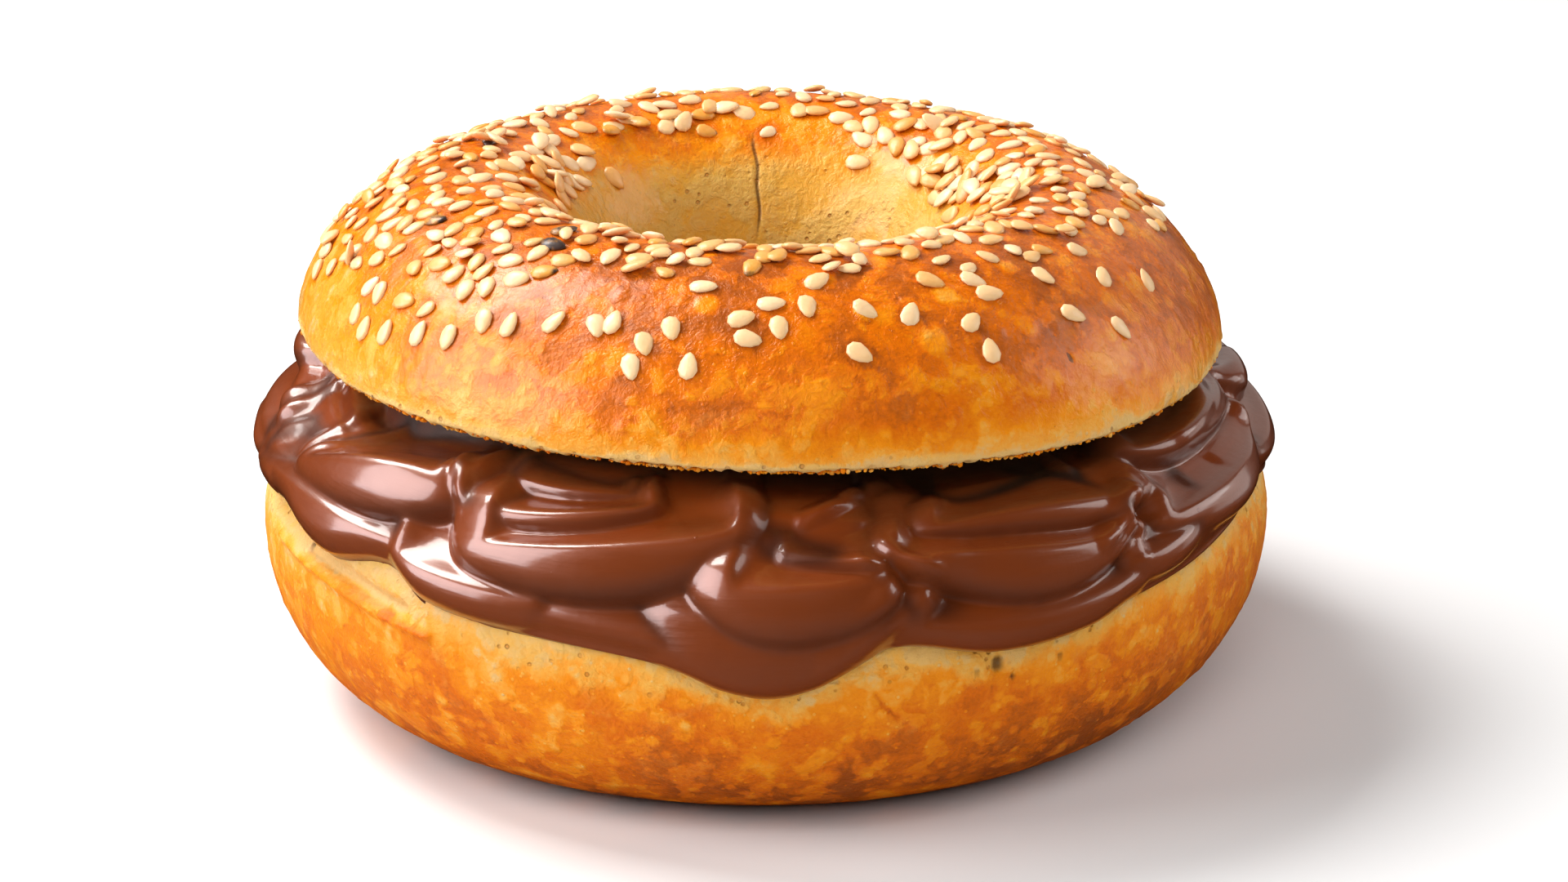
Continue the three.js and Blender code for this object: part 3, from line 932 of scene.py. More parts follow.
@dataclass(frozen=True)
class Scatter:
    """One small shape set on many points, which give its turn as "turn" and its size as "size"."""

    grain: Grain
    length: float
    width: float
    thickness: float
    taper: float = 0.0  # how much narrower the pointed end is
    uneven: float = 0.0  # how far noise pushes the surface about
    lumps: Cloud = Cloud(1.0, 1.0)  # that noise

    def _shape(self, bench: GeometryBench) -> Value:
        """Returns the ball that the shape is made from, of radius 1."""
        if self.grain is Grain.SEED:
            inputs = {"Segments": 10, "Rings": 7, "Radius": 1.0}
            return bench.make("GeometryNodeMeshUVSphere", {}, inputs, out=0)
        return bench.make("GeometryNodeMeshIcoSphere", {}, {"Radius": 1.0, "Subdivisions": 1}, out=0)

    def strew(
        self, name: str, points: Grid, marks: dict[str, Grid], finish: bpy.types.Material
    ) -> bpy.types.Object:
        """Sets the shape on points.

        Args:
            name: Name of the piece.
            points: Places in millimetres.
            marks: Values of each point: its turn and size, and what the finish reads.
            finish: The material.

        Returns:
            The piece, as a plain mesh.
        """
        sizes = {
            "Length": self.length,
            "Width": self.width,
            "Thickness": self.thickness,
            "Uneven": self.uneven,
        }
        bench = GeometryBench(f"scatter_{self.grain.value}", sizes)
        ball = bench.make("GeometryNodeInputPosition")
        x, y, z = (bench.make("ShaderNodeSeparateXYZ", {}, {0: ball}, out=axis) for axis in range(3))
        shaped = {
            0: x * bench.given("Length") * (0.5 * MM),
            1: y * (1.0 - x * self.taper) * bench.given("Width") * (0.5 * MM),
            2: z * (1.0 - x * (0.5 * self.taper)) * bench.given("Thickness") * (0.5 * MM),
        }
        where = bench.make("ShaderNodeCombineXYZ", {}, shaped)
        tipped = bench.make(
            "GeometryNodeStoreNamedAttribute",
            {"data_type": "FLOAT", "domain": "POINT"},
            {"Geometry": self._shape(bench), "Name": "tip", "Value": x.step(0.35, 1.0)},
        )
        single = bench.make("GeometryNodeSetPosition", {}, {"Geometry": tipped, "Position": where})
        many = bench.make(
            "GeometryNodeInstanceOnPoints",
            {},
            {
                "Points": bench.given("Geometry"),
                "Instance": single,
                "Rotation": bench.mark("turn", "FLOAT_VECTOR"),
                "Scale": bench.mark("size"),
            },
        )
        real = bench.make("GeometryNodeRealizeInstances", {}, {0: many})
        lumps = (bench.noise(bench.spot(), self.lumps) - 0.5) * 2.0 * bench.given("Uneven")
        smooth = bench.make("GeometryNodeSetShadeSmooth", {}, {0: bench.push(real, lumps)})
        bench.close(smooth, finish)
        return bench.run(link(name, point_mesh(name, points, marks)))


# ---- The lower half ----


@dataclass(frozen=True)
class Groove:
    """Fold in a crust: a path of azimuths in degrees and heights, with its depth and half width."""

    path: tuple[Pair, ...]
    depth: float  # below 0 for a ridge
    half_width: float
    bake: float = 0.0  # how much darker or paler it is baked
    dark: float = 0.0  # how much it is darkened like a crack

    def nearness(self, azimuth: Grid, height: Grid, radius: float) -> Grid:
        """How near a surface is to the fold.

        Args:
            azimuth: Azimuths of the surface.
            height: Its heights.
            radius: Turns an azimuth into a distance.

        Returns:
            1 on the fold, falling to 0 beside it.
        """
        degrees = [point[0] for point in self.path]
        heights = [point[1] for point in self.path]
        turned = np.degrees(azimuth_gap(azimuth, 0.0))
        line = np.interp(turned, degrees, heights)
        over = np.maximum(degrees[0] - turned, turned - degrees[-1])
        past = np.maximum(0.0, over) * math.radians(radius)
        away = np.hypot(height - line, past)
        return np.exp(-((away / self.half_width) ** 2))


@dataclass(frozen=True)
class Dimple:
    """Open pore in the side of the lower half, or a bubble where its depth is below 0."""

    azimuth: float  # degrees
    height: float
    radius: float
    depth: float
    dark: float = 0.0

    def nearness(self, azimuth: Grid, height: Grid, radius: float) -> Grid:
        """How near a surface is to the pore.

        Args:
            azimuth: Azimuths of the surface.
            height: Its heights.
            radius: Turns an azimuth into a distance.

        Returns:
            1 in its middle, falling to 0 beside it.
        """
        aside = azimuth_gap(azimuth, math.radians(self.azimuth)) * radius
        return np.exp(-((aside**2 + (0.75 * (height - self.height)) ** 2) / self.radius**2))


@dataclass(frozen=True)
class LowerHalf:
    """The lower half: a superellipse section, flattened where it was baked on the tray."""

    steps: int = 900
    ring_radius: float = 34.4  # from the middle of the hole to the middle of the dough
    outer_width: float = 20.6
    inner_width: float = 17.2
    widest: float = 19.4  # height of the widest line
    depth: float = 20.0  # of the section below that line, before it is flattened
    rise: float = 14.0  # of the section above that line, before it is cut
    power: float = 2.14
    shoulder: float = 25.3  # height down to which the outer cut edge is rounded
    edge_round: float = 1.0
    hole_round: float = 1.4
    flat_angle: float = 76.0  # degrees, where the section meets its flat
    unround: tuple[tuple[int, float, float], ...] = (
        (1, 0.3, 180), (2, 0.1, 90), (3, 0.25, 200), (5, 0.2, 310), (9, 0.1, 75),
    )  # fmt: skip
    low_bake: tuple[Pair, ...] = (  # height, and how far it is baked there
        (0.0, 0.96), (3.0, 0.86), (9.0, 0.72), (15.0, 0.6), (21.0, 0.44), (26.5, 0.1),
    )  # fmt: skip
    hole_bake: float = 0.35
    paler_band: float = 5.2  # width of the paler band beside the spread
    band_edge: Ripple = Ripple(1.5, 3, 16, 5)
    torn_middle: float = 22.0  # degrees, where that band shows the most crumb
    torn_reach: float = 16.0  # degrees
    folds: tuple[Groove, ...] = (
        Groove(((-72, 24.0), (-62, 23.4), (-50, 22.8), (-41, 21.8)), 0.8, 0.8, bake=-0.35),
        Groove(((-68, 22.2), (-58, 21.7), (-46, 21.0), (-37, 20.0)), -0.6, 0.6, bake=0.25),
        Groove(((-60, 22.5), (-50, 21.9), (-42, 21.0)), 0.4, 0.45, dark=0.36),
        Groove(((11.5, 17.6), (12.6, 16.0), (14.0, 14.6)), 0.35, 0.35, bake=0.3, dark=0.2),
    )
    dimples: tuple[Dimple, ...] = (  # azimuth, height, radius, depth and darkness
        Dimple(25.0, 19.0, 0.85, 0.7, 0.7),
        Dimple(26.8, 17.4, 0.5, 0.4, 0.6),
        Dimple(22.6, 18.4, 0.45, 0.35, 0.6),
        Dimple(24.5, 16.4, 0.4, 0.3, 0.5),
        Dimple(32.6, 18.4, 0.5, 0.4, 0.6),
        Dimple(28.9, 10.6, 0.4, 0.3, 0.5),
        Dimple(-60.6, 23.3, 0.5, 0.4, 0.7),
        Dimple(16.6, 12.7, 0.55, -0.22),
        Dimple(17.8, 13.1, 0.55, -0.25),
        Dimple(19.2, 13.4, 0.5, -0.22),
        Dimple(20.6, 13.7, 0.5, -0.2),
        Dimple(16.8, 11.4, 0.45, -0.2),
        Dimple(12.8, 8.8, 0.6, -0.25),
    )

    def radius(self, azimuth: Grid, height: Grid) -> Grid:
        """Returns the outer radius above the widest line."""
        share = np.clip(np.abs(height - self.widest) / self.rise, 0.0, 1.0)
        reach = (1.0 - share**self.power) ** (1.0 / self.power)
        return self.ring_radius + (self.outer_width + waves(azimuth, self.unround)) * reach

    def _outline(self, azimuth: Grid) -> tuple[Grid, Grid]:
        """The section, from the hole over the cut face, down the side and back under it.

        Args:
            azimuth: Azimuths, one to a row.

        Returns:
            Radii and heights by azimuth and station.
        """
        cut = LAYOUT.bottom_cut
        hole = self.ring_radius - self.inner_width + self.hole_round
        ones = np.ones_like(azimuth)
        edge = self.radius(azimuth, cut * ones) - self.edge_round
        face = np.linspace(0.0, 1.0, 7)[None, :]
        turn = np.radians(np.linspace(15.0, 90.0, 6))[None, :]
        side = np.linspace(self.shoulder, self.widest, 20)[None, 1:]
        low = np.radians(np.linspace(0.0, self.flat_angle, 46))[None, 1:]
        under = np.linspace(0.0, 1.0, 5)[None, 1:-1]
        wall = np.radians(np.linspace(self.flat_angle, 0.0, 16))[None, :]
        width = self.outer_width + waves(azimuth, self.unround)
        over, sunk = superellipse(width, self.depth, self.power, low)
        back, dip = superellipse(-self.inner_width, self.depth, self.power, wall)
        reach, drop = np.sin(turn), 1.0 - np.cos(turn)
        shoulder = self.radius(azimuth, self.shoulder * ones)
        radii = [
            lerp(hole, edge, face),
            lerp(edge, shoulder, reach),
            self.radius(azimuth, side * ones),
            self.ring_radius + over,
            lerp(self.ring_radius + over[:, -1:], self.ring_radius + back[:, :1], under),
            self.ring_radius + back * ones,
        ]
        heights = [
            cut + 0.0 * face * ones,
            lerp(cut, self.shoulder, drop) * ones,
            side * ones,
            np.maximum(0.0, self.widest - sunk) * ones,
            0.0 * under * ones,
            np.maximum(0.0, self.widest - dip) * ones,
        ]
        return np.concatenate(radii, axis=1), np.concatenate(heights, axis=1)

    def build(self, finish: bpy.types.Material, rim_height: Callable[[Grid], Grid]) -> bpy.types.Object:
        """Builds the lower half.

        Args:
            finish: Its material.
            rim_height: Height of the spread's lower edge by azimuth.

        Returns:
            The finished piece.
        """
        azimuth = (np.arange(self.steps) / self.steps * TURN)[:, None]
        radius, height = self._outline(azimuth)
        outside = smoothstep(radius, self.ring_radius + 2.0, self.ring_radius + 8.0)
        below = rim_height(azimuth) - height
        reach = radius.max()
        details = [(one, one.nearness(azimuth, height, reach)) for one in (*self.folds, *self.dimples)]
        radius = radius - sum(detail.depth * near for detail, near in details) * outside
        dark = sum(detail.dark * near for detail, near in details)
        folded = sum(fold.bake * near for fold, near in details[: len(self.folds)])
        low_bake = np.interp(height, *zip(*self.low_bake))
        near_spread = 1.0 - smoothstep(below, 0.5, self.paler_band + self.band_edge.at(azimuth))
        aside = azimuth_gap(azimuth, math.radians(self.torn_middle)) / math.radians(self.torn_reach)
        torn = near_spread * lerp(0.52, 0.95, np.exp(-(aside**2)))
        crumb = np.maximum(torn, smoothstep(height, 24.5, 26.0)) * outside
        cut_face = smoothstep(height, LAYOUT.bottom_cut - 0.4, LAYOUT.bottom_cut - 0.1)
        bake = low_bake * outside + self.hole_bake * (1.0 - outside) - 0.16 * near_spread * outside
        bake = bake + 0.10 * np.sin(azimuth) + folded * outside
        marks = {
            "bake": bake * (1.0 - cut_face),
            "crumb": np.maximum(crumb, cut_face),
            # the wall of the hole, painted with the finish's wall colour, which is partly painted shade
            "wall": 0.8 * (1.0 - outside),
            "crack": dark * outside,
            "relief": smoothstep(height, 0.3, 3.0) * (1.0 - cut_face),
        }
        points = LAYOUT.settled(place(azimuth, radius, height))
        piece = link("lower_half", ring_mesh("lower_half", points, marks))
        piece = CrustRelief(swell=0.22, blister=0.12).shape(piece, finish)
        return enlist(piece, Node.BOTTOM, Slot.BREAD)


# ---- The spread ----


@dataclass(frozen=True)
class Course:
    """Floor of the creases, from under the upper half out and down the side of the lower half."""

    knots: tuple[Pair, ...] = (
        (41.0, 37.9), (44.0, 36.0), (47.2, 34.2), (50.0, 31.9), (52.0, 29.3),
        (53.6, 26.8), (54.8, 24.2), (55.6, 21.2), (55.9, 17.0),
    )  # fmt: skip
    fineness: int = 60  # points to a stretch

    def _curve(self) -> Grid:
        """Returns points along the centripetal curve through the knots."""
        knots = np.array(self.knots)
        ends = np.vstack([2.0 * knots[0] - knots[1], knots, 2.0 * knots[-1] - knots[-2]])
        share = np.linspace(0.0, 1.0, self.fineness, endpoint=False)[:, None]
        stretches = []
        for p0, p1, p2, p3 in zip(ends, ends[1:], ends[2:], ends[3:]):
            d0, d1, d2 = (math.sqrt(math.dist(a, b)) for a, b in ((p0, p1), (p1, p2), (p2, p3)))
            start = ((p1 - p0) / d0 - (p2 - p0) / (d0 + d1) + (p2 - p1) / d1) * d1
            end = ((p2 - p1) / d1 - (p3 - p1) / (d1 + d2) + (p3 - p2) / d2) * d1
            rise = (3.0 - 2.0 * share) * share**2
            bend = (share - 1.0) * share * ((share - 1.0) * start + share * end)
            stretches.append(lerp(p1, p2, rise) + bend)
        return np.vstack([*stretches, knots[-1:]])

    def at(self, along: Grid) -> tuple[Grid, Grid, Grid, Grid]:
        """Reads the course.

        Args:
            along: Distances along it.

        Returns:
            Radius and height, and the outward normal's parts across and up.
        """
        curve = self._curve()
        lengths = np.concatenate([[0.0], np.cumsum(np.linalg.norm(np.diff(curve, axis=0), axis=1))])
        knots = np.array(self.knots)
        chord = np.linalg.norm(np.diff(knots, axis=0), axis=1).sum()
        where = np.clip(along / chord, 0.0, 1.0) * lengths[-1]
        slope = np.gradient(curve, lengths, axis=0)
        slope = slope / np.linalg.norm(slope, axis=1, keepdims=True)
        radius, height = (np.interp(where, lengths, curve[:, k]) for k in (0, 1))
        outwards, upwards = (np.interp(where, lengths, slope[:, k]) for k in (0, 1))
        return radius, height, -upwards, outwards


@dataclass(frozen=True)
class Spoonful:
    """One spoonful: a round face between two arches that meet at its ends, and a dish behind it."""

    azimuth: float  # degrees
    along: float
    half_length: float
    half_height: float  # from the line through its ends down to its foot
    slant: float
    level: float
    lift: float
    lip: float  # height of its face
    dish: float
    reach: float = 4.0  # how far its flanks run up, as a multiple of its half height, at least 20 mm
    outer_fall: float = 3.0  # slope outside its edge
    flanks: Pair = (0.2, 0.12)  # widths of its rounded ends, as shares of half_length
    crest: float = 0.4  # radius of the edge between face and dish
    bulge: float = 0.10  # how far it swells between its ends, as a share of its half length
    dish_run: float = 4.6  # distance over which the dish reaches its depth
    back_fall: float = 0.5  # slope by which it sinks above its middle
    flank_fall: Pair = (0.5, 5.5)  # distances above its ends over which they die away
    drag: float = 0.012  # height of the fine lines that the spoon drew along the face
    drag_pitch: float = 1.4
    drag_bend: float = 1.6  # how far those lines wander, in radians of a pitch

    def height(self, azimuth: Grid, along: Grid, mean_radius: float) -> tuple[Grid, Grid, Grid]:
        """How high the spoonful stands.

        Args:
            azimuth: Where it is read.
            along: Distances down the course.
            mean_radius: Turns an azimuth into a distance.

        Returns:
            Heights over the floor of the creases, how deep in the dish each place is, from 0 to 1, and
            how far up the face it is, from 0 at the foot to 1.
        """
        aside = azimuth_gap(azimuth, math.radians(self.azimuth)) * mean_radius
        down = along - self.along - self.slant * aside
        across = aside / self.half_length
        reach = np.where(down > 0.0, self.half_height, max(self.half_height * self.reach, 20.0))
        share = np.maximum(np.hypot(across, down / reach), TINY)
        steepness = np.maximum(np.hypot(aside / self.half_length**2, down / reach**2), TINY)
        inside = share * (1.0 - share) / steepness
        arch = np.sqrt(np.maximum(1.0 - across**2, TINY))
        foot = (self.half_height * arch - down) / (self.lip * arch)
        narrow = np.sqrt(np.maximum(1.0 - (np.minimum(down, 0.0) / reach) ** 2, 0.0))
        side = self.half_length * narrow - np.abs(aside)
        flank = self.half_length * lerp(*self.flanks, smoothstep(across, -0.5, 0.5))
        up, inwards = (1.0 - (1.0 - np.clip(part, 0.0, 1.0)) ** 2 for part in (foot, side / flank))
        rise = self.lift * np.sqrt(up * inwards)
        over = np.maximum((self.half_height - self.lip) * arch - down, 0.0)
        within = np.maximum(side - flank, 0.0)
        behind = over * within / np.maximum(np.hypot(over, within), TINY)
        run = np.clip((np.hypot(behind, self.crest) - self.crest) / self.dish_run, 0.0, 1.0)
        sunk = run * (2.0 - run)
        fade = smoothstep(foot, 0.1, 0.5) * (1.0 - smoothstep(behind, 3.0, 8.0))
        pitch = TURN * (self.half_height * arch - down) / self.drag_pitch
        bend = self.drag_bend * np.sin(3.0 * azimuth + self.along)
        lines = self.drag * fade * np.sin(pitch + self.azimuth + bend)
        swell = self.bulge * self.half_length * (0.4 - np.minimum(across**2, 1.0))
        level = self.level + swell
        back = self.back_fall * np.maximum(0.0, -down - self.half_height)
        kept = 1.0 - 0.9 * smoothstep(-down, *self.flank_fall)
        standing = level + rise * kept * (1.0 - sunk) + (self.lift - self.dish) * sunk + lines
        return np.where(share < 1.0, standing, level + self.outer_fall * inside) - back, sunk, up


@dataclass(frozen=True)
class Strand:
    """Soft ridge that the knife drew over the spoonfuls, from one place to another."""

    azimuth: float  # degrees
    along: float
    to_azimuth: float  # degrees
    to_along: float
    half_width: float
    lift: float
    tips: float = 0.15  # how far along its arch it starts, and from the end of it stops

    def height(self, azimuth: Grid, along: Grid, mean_radius: float) -> Grid:
        """How much the ridge adds.

        Args:
            azimuth: Where it is read.
            along: Distances down the course.
            mean_radius: Turns an azimuth into a distance.

        Returns:
            Heights, 0 away from the ridge.
        """
        length = math.radians(self.to_azimuth - self.azimuth) * mean_radius
        fall = self.to_along - self.along
        aside = azimuth_gap(azimuth, math.radians(self.azimuth)) * mean_radius
        down = along - self.along
        share = np.clip((aside * length + down * fall) / (length**2 + fall**2), 0.0, 1.0)
        away = np.minimum(np.hypot(aside - share * length, down - share * fall) / self.half_width, 1.0)
        arch = np.sin(math.pi * lerp(self.tips, 1.0 - self.tips, share))
        return self.lift * (1.0 - away**2) ** 2 * arch


@dataclass(frozen=True)
class SpreadLayer:
    """The layer of spread: flat under the upper half, in overlapping spoonfuls where it shows."""

    steps: int = 880
    stations: int = 98  # down the part that shows
    crowd: float = 0.26  # how much closer the azimuths lie at the front than on average
    mean_radius: float = 54.0
    hole_radius: float = 17.0
    hole_bulge: float = 1.6
    hole_edge: float = 0.6  # how far below the flat the wall of the hole ends
    flat_end: float = 35.0
    rim_round: float = 2.4
    rim_tuck: float = 0.3
    bottom_clear: float = 0.05
    bead: Triple = (1.6, 2.4, 7.0)  # lift, place of its peak, end
    deepest: float = 2.5  # how far a dish may sink below the floor of the creases
    emerge: float = 5.0  # distance over which the spoonfuls come up from under the upper half
    drift_down: Triple = (0.5, 9.0, 0.3)  # unevenness: size, turns, rate down
    drift_across: Triple = (0.012, 5.0, 0.55)
    crease_width: float = 0.35  # difference of height within which two spoonfuls meet
    course: Course = Course()
    rim: RoundCurve = RoundCurve((
        (-168, 19.6), (-152, 18.2), (-136, 20.4), (-120, 18.4), (-104, 19.8), (-90, 18.3), (-78, 19.2),
        (-65, 18.2), (-54, 20.0), (-44, 18.4), (-37, 21.0), (-24, 21.8), (-13, 22.8), (-8, 24.0),
        (-4, 25.6), (0.5, 26.4), (5, 25.5), (9, 23.6), (13.5, 21.7), (24, 23.4), (35, 22.9), (41, 21.6),
        (52, 20.5), (62, 19.3), (74, 18.1), (86, 19.6), (100, 18.2), (115, 20.0), (130, 18.4),
        (146, 20.6), (161, 18.4), (177, 20.8),
    ))  # fmt: skip
    spoonfuls: tuple[Spoonful, ...] = (
        # azimuth, along, half length, half height, slant, level, lift, lip and dish
        # front, left of the middle
        Spoonful(-50.5, 12.4, 14.5, 3.0, -0.17, 1.0, 2.4, 3.8, 3.2, flanks=(0.3, 0.25)),
        Spoonful(-60, 15.6, 18.0, 5.0, 0, 0.3, 2.1, 4.2, 2.6),
        Spoonful(-33, 17.0, 11.0, 5.0, 0.14, 0.3, 2.2, 3.6, 2.8),
        Spoonful(-18.3, 10.4, 17.8, 8.0, -0.10, 1.0, 2.9, 4.3, 3.8, flanks=(0.34, 0.2)),
        Spoonful(-24.5, 8.4, 12.6, 4.1, -0.05, 1.0, 2.0, 1.5, 3.2),
        Spoonful(-23.0, 6.4, 8.5, 1.8, 0, 0.8, 0.9, 0.8, 2.0),
        # front, the middle and the run
        Spoonful(3.2, 15.1, 10.4, 6.4, 0, 1.2, 3.1, 5.3, 3.4, bulge=0.2, flanks=(0.46, 0.3)),
        Spoonful(0.5, 19.0, 13.5, 8.0, 0, 0.1, 2.1, 7.0, 0.6, flanks=(0.6, 0.5)),
        Spoonful(6.4, 12.9, 7.4, 1.6, 0.16, 1.0, 1.2, 1.2, 1.2, flanks=(0.5, 0.4)),
        # front, right of the middle
        Spoonful(27.5, 12.6, 15.0, 6.4, 0.03, 0.9, 2.7, 4.0, 3.6),
        Spoonful(33, 10.2, 16.0, 3.0, 0.0, 0.9, 2.1, 1.7, 3.2),
        Spoonful(30, 18.4, 17.0, 5.6, -0.06, 0.2, 2.1, 3.8, 2.6),
        Spoonful(48.5, 16.0, 8.0, 4.6, -0.10, 0.5, 2.0, 3.0, 2.6),
        Spoonful(62, 12.4, 15.5, 6.2, -0.08, 0.7, 2.4, 3.6, 3.2),
        Spoonful(65, 6.4, 17, 4.2, 0.03, 1.0, 2.0, 2.0, 3.0),
        # round the right side
        Spoonful(90, 12.5, 15, 5.6, -0.12, 0.4, 1.7, 3.4, 2.4),
        Spoonful(96, 5.5, 15, 7.4, 0.06, 0.9, 1.9, 3.4, 3.0),
        Spoonful(113, 12.5, 15, 7.0, -0.05, 0.3, 2.0, 4.6, 2.6),
        # round the back
        Spoonful(140, 11.0, 14, 8.6, 0.05, 0.7, 2.3, 5.2, 3.0),
        Spoonful(132, 5.5, 12, 6.4, 0.05, 1.5, 1.8, 2.6, 3.0),
        Spoonful(136, 15.0, 16, 5.0, 0, 0.1, 1.8, 3.6, 2.2),
        Spoonful(167, 12.0, 15, 7.8, -0.08, 0.5, 2.2, 4.8, 3.0),
        Spoonful(160, 5.5, 12, 6.4, 0.06, 1.5, 1.8, 2.6, 3.0),
        Spoonful(194, 11.0, 15, 8.6, 0.04, 0.8, 2.3, 5.2, 3.0),
        Spoonful(188, 15.4, 14, 5.2, 0, 0.1, 1.8, 3.6, 2.2),
        Spoonful(190, 5.0, 12, 6.2, -0.05, 1.6, 1.8, 2.6, 3.0),
        Spoonful(219, 12.0, 14, 7.4, -0.06, 0.4, 2.1, 4.6, 2.8),
        Spoonful(215, 5.5, 12, 6.2, 0.08, 1.5, 1.8, 2.6, 3.0),
        # round the left side
        Spoonful(243, 11.0, 15, 8.4, 0.06, 0.7, 2.1, 5.0, 3.0),
        Spoonful(239, 15.0, 14, 5.0, 0, 0.1, 1.8, 3.6, 2.2),
        Spoonful(259, 5.0, 13, 7.4, 0.08, 0.9, 1.9, 3.2, 3.0),
        Spoonful(268, 12.5, 14, 6.6, 0.08, 0.4, 1.8, 4.0, 2.4),
        Spoonful(285, 13.2, 9, 5.0, 0.04, 0.1, 1.6, 3.4, 2.2),
    )
    strands: tuple[Strand, ...] = (
        # azimuth and along where each starts and ends, half width and lift
        # from the run up to the right, the curl under the upper half and the pinch of creases
        Strand(8, 22.5, 20, 13.0, 3.4, 1.3),
        Strand(3.0, 12.4, 12.5, 13.9, 1.5, 1.4),
        Strand(4, 9.0, 11, 5.6, 1.5, 1.2),
        Strand(9, 5.8, 15, 3.4, 1.3, 1.2),
        Strand(12.0, 11.0, 17.0, 16.0, 1.5, 0.9),
        Strand(37, 14.8, 46, 9.6, 1.5, 1.2),
        Strand(40.5, 13.4, 46.5, 15.0, 1.5, 0.8),
        Strand(44.5, 10.5, 43, 17.2, 1.4, 0.8),
        # the pinch on the left
        Strand(-39.5, 4.6, -35.5, 10.2, 1.5, 0.9),
        # long drags on both sides
        Strand(58, 8.4, 92, 3.6, 2.2, 1.2),
        Strand(64, 12.2, 96, 9.0, 2.2, 1.0),
        Strand(-66, 6.0, -96, 3.4, 2.2, 1.2),
        Strand(-74, 12.5, -102, 9.4, 2.4, 1.0),
        Strand(-90, 17.0, -70, 17.6, 1.8, 0.7),
        Strand(150, 13.5, 178, 11.0, 2.2, 1.0),
        Strand(205, 13.0, 232, 16.0, 2.2, 1.0),
    )

    def rim_height(self, azimuth: Grid) -> Grid:
        """Returns the height of the lower edge."""
        return self.course.at(self.rim.at(azimuth))[1]

    def _swirl(self, azimuth: Grid, along: Grid, rim: Grid) -> tuple[Grid, Grid, Grid]:
        """How high the spread stands over the floor of its creases.

        Args:
            azimuth: Where it is read.
            along: Distances down the course.
            rim: Distance of the lower edge down the course.

        Returns:
            Heights, how deep in a dish each place is, and how much painted shade a crease gives it.
        """
        down, across = (
            where + size * np.sin(turns * azimuth + rate * along)
            for where, (size, turns, rate) in ((along, self.drift_down), (azimuth, self.drift_across))
        )
        lift, peak, end = self.bead
        to_rim = rim - along
        highest = lift * smoothstep(to_rim, 0.0, peak) * (1.0 - smoothstep(to_rim, peak, end))
        highest = highest - self.deepest * smoothstep(to_rim, end - 2.0, end + 2.0)
        second = np.full_like(highest, -9.0)  # far below, until a second spoonful is met
        dish, face = np.zeros_like(highest), np.ones_like(highest)
        for spoonful in self.spoonfuls:
            height, sunk, up = spoonful.height(across, down, self.mean_radius)
            wins = height > highest
            second = np.where(wins, highest, np.maximum(second, height))
            dish = np.where(wins, sunk, dish)
            face = np.where(wins, up, face)
            highest = np.where(wins, height, highest)
        # painted shade where two spoonfuls meet and at the foot of each face
        meeting = np.exp(-(((highest - second) / self.crease_width) ** 2))
        crease_shade = np.maximum(meeting, 0.7 * smoothstep(face, 0.75, 0.0))
        drawn = sum(strand.height(across, down, self.mean_radius) for strand in self.strands)
        highest = soften(highest, 2) + drawn
        near_rim = 1.0 - np.clip(to_rim / self.rim_round, 0.0, 1.0)
        shown = smoothstep(along, 0.0, self.emerge)
        crease_shade = crease_shade * shown * smoothstep(to_rim, 1.5, 4.0)
        return highest * shown * np.sqrt(1.0 - near_rim**2), soften(dish, 2), soften(crease_shade, 4)

    def _hidden(self, ones: Grid) -> tuple[Grid, Grid]:
        """The wall of the hole and the flat under the upper half.

        Args:
            ones: 1 for each azimuth, one to a row.

        Returns:
            Radii and heights by azimuth and station.
        """
        floor, ceiling = LAYOUT.spread_span
        bulge = np.sin(np.linspace(0.15, 0.85, 6) * math.pi)
        wall = self.hole_radius - self.hole_bulge * (bulge - 0.4)
        flat = np.linspace(self.hole_radius + self.hole_bulge, self.flat_end, 4)
        climb = np.linspace(floor, ceiling - self.hole_edge, wall.size)
        radii = np.concatenate([wall, flat])
        heights = np.concatenate([climb, np.full(flat.size, ceiling)])
        return radii * ones, heights * ones

    def _tucked(self, azimuth: Grid, lower: LowerHalf) -> tuple[Grid, Grid]:
        """The part behind the lower edge, up the side of the lower half and onto its cut face.

        Args:
            azimuth: Azimuths, one to a row.
            lower: The lower half.

        Returns:
            Radii and heights by azimuth and station.
        """
        edge = self.rim_height(azimuth) - self.rim_tuck
        heights = lerp(edge, lower.shoulder, np.linspace(0.0, 1.0, 4)[None, :])
        radii = lower.radius(azimuth, heights) + self.bottom_clear
        ones = np.ones_like(azimuth)
        last = lower.radius(azimuth, LAYOUT.bottom_cut * ones) - LAYOUT.gap / 2.0
        radii = np.concatenate([radii, last], axis=1)
        return radii, np.concatenate([heights, LAYOUT.spread_span[0] * ones], axis=1)

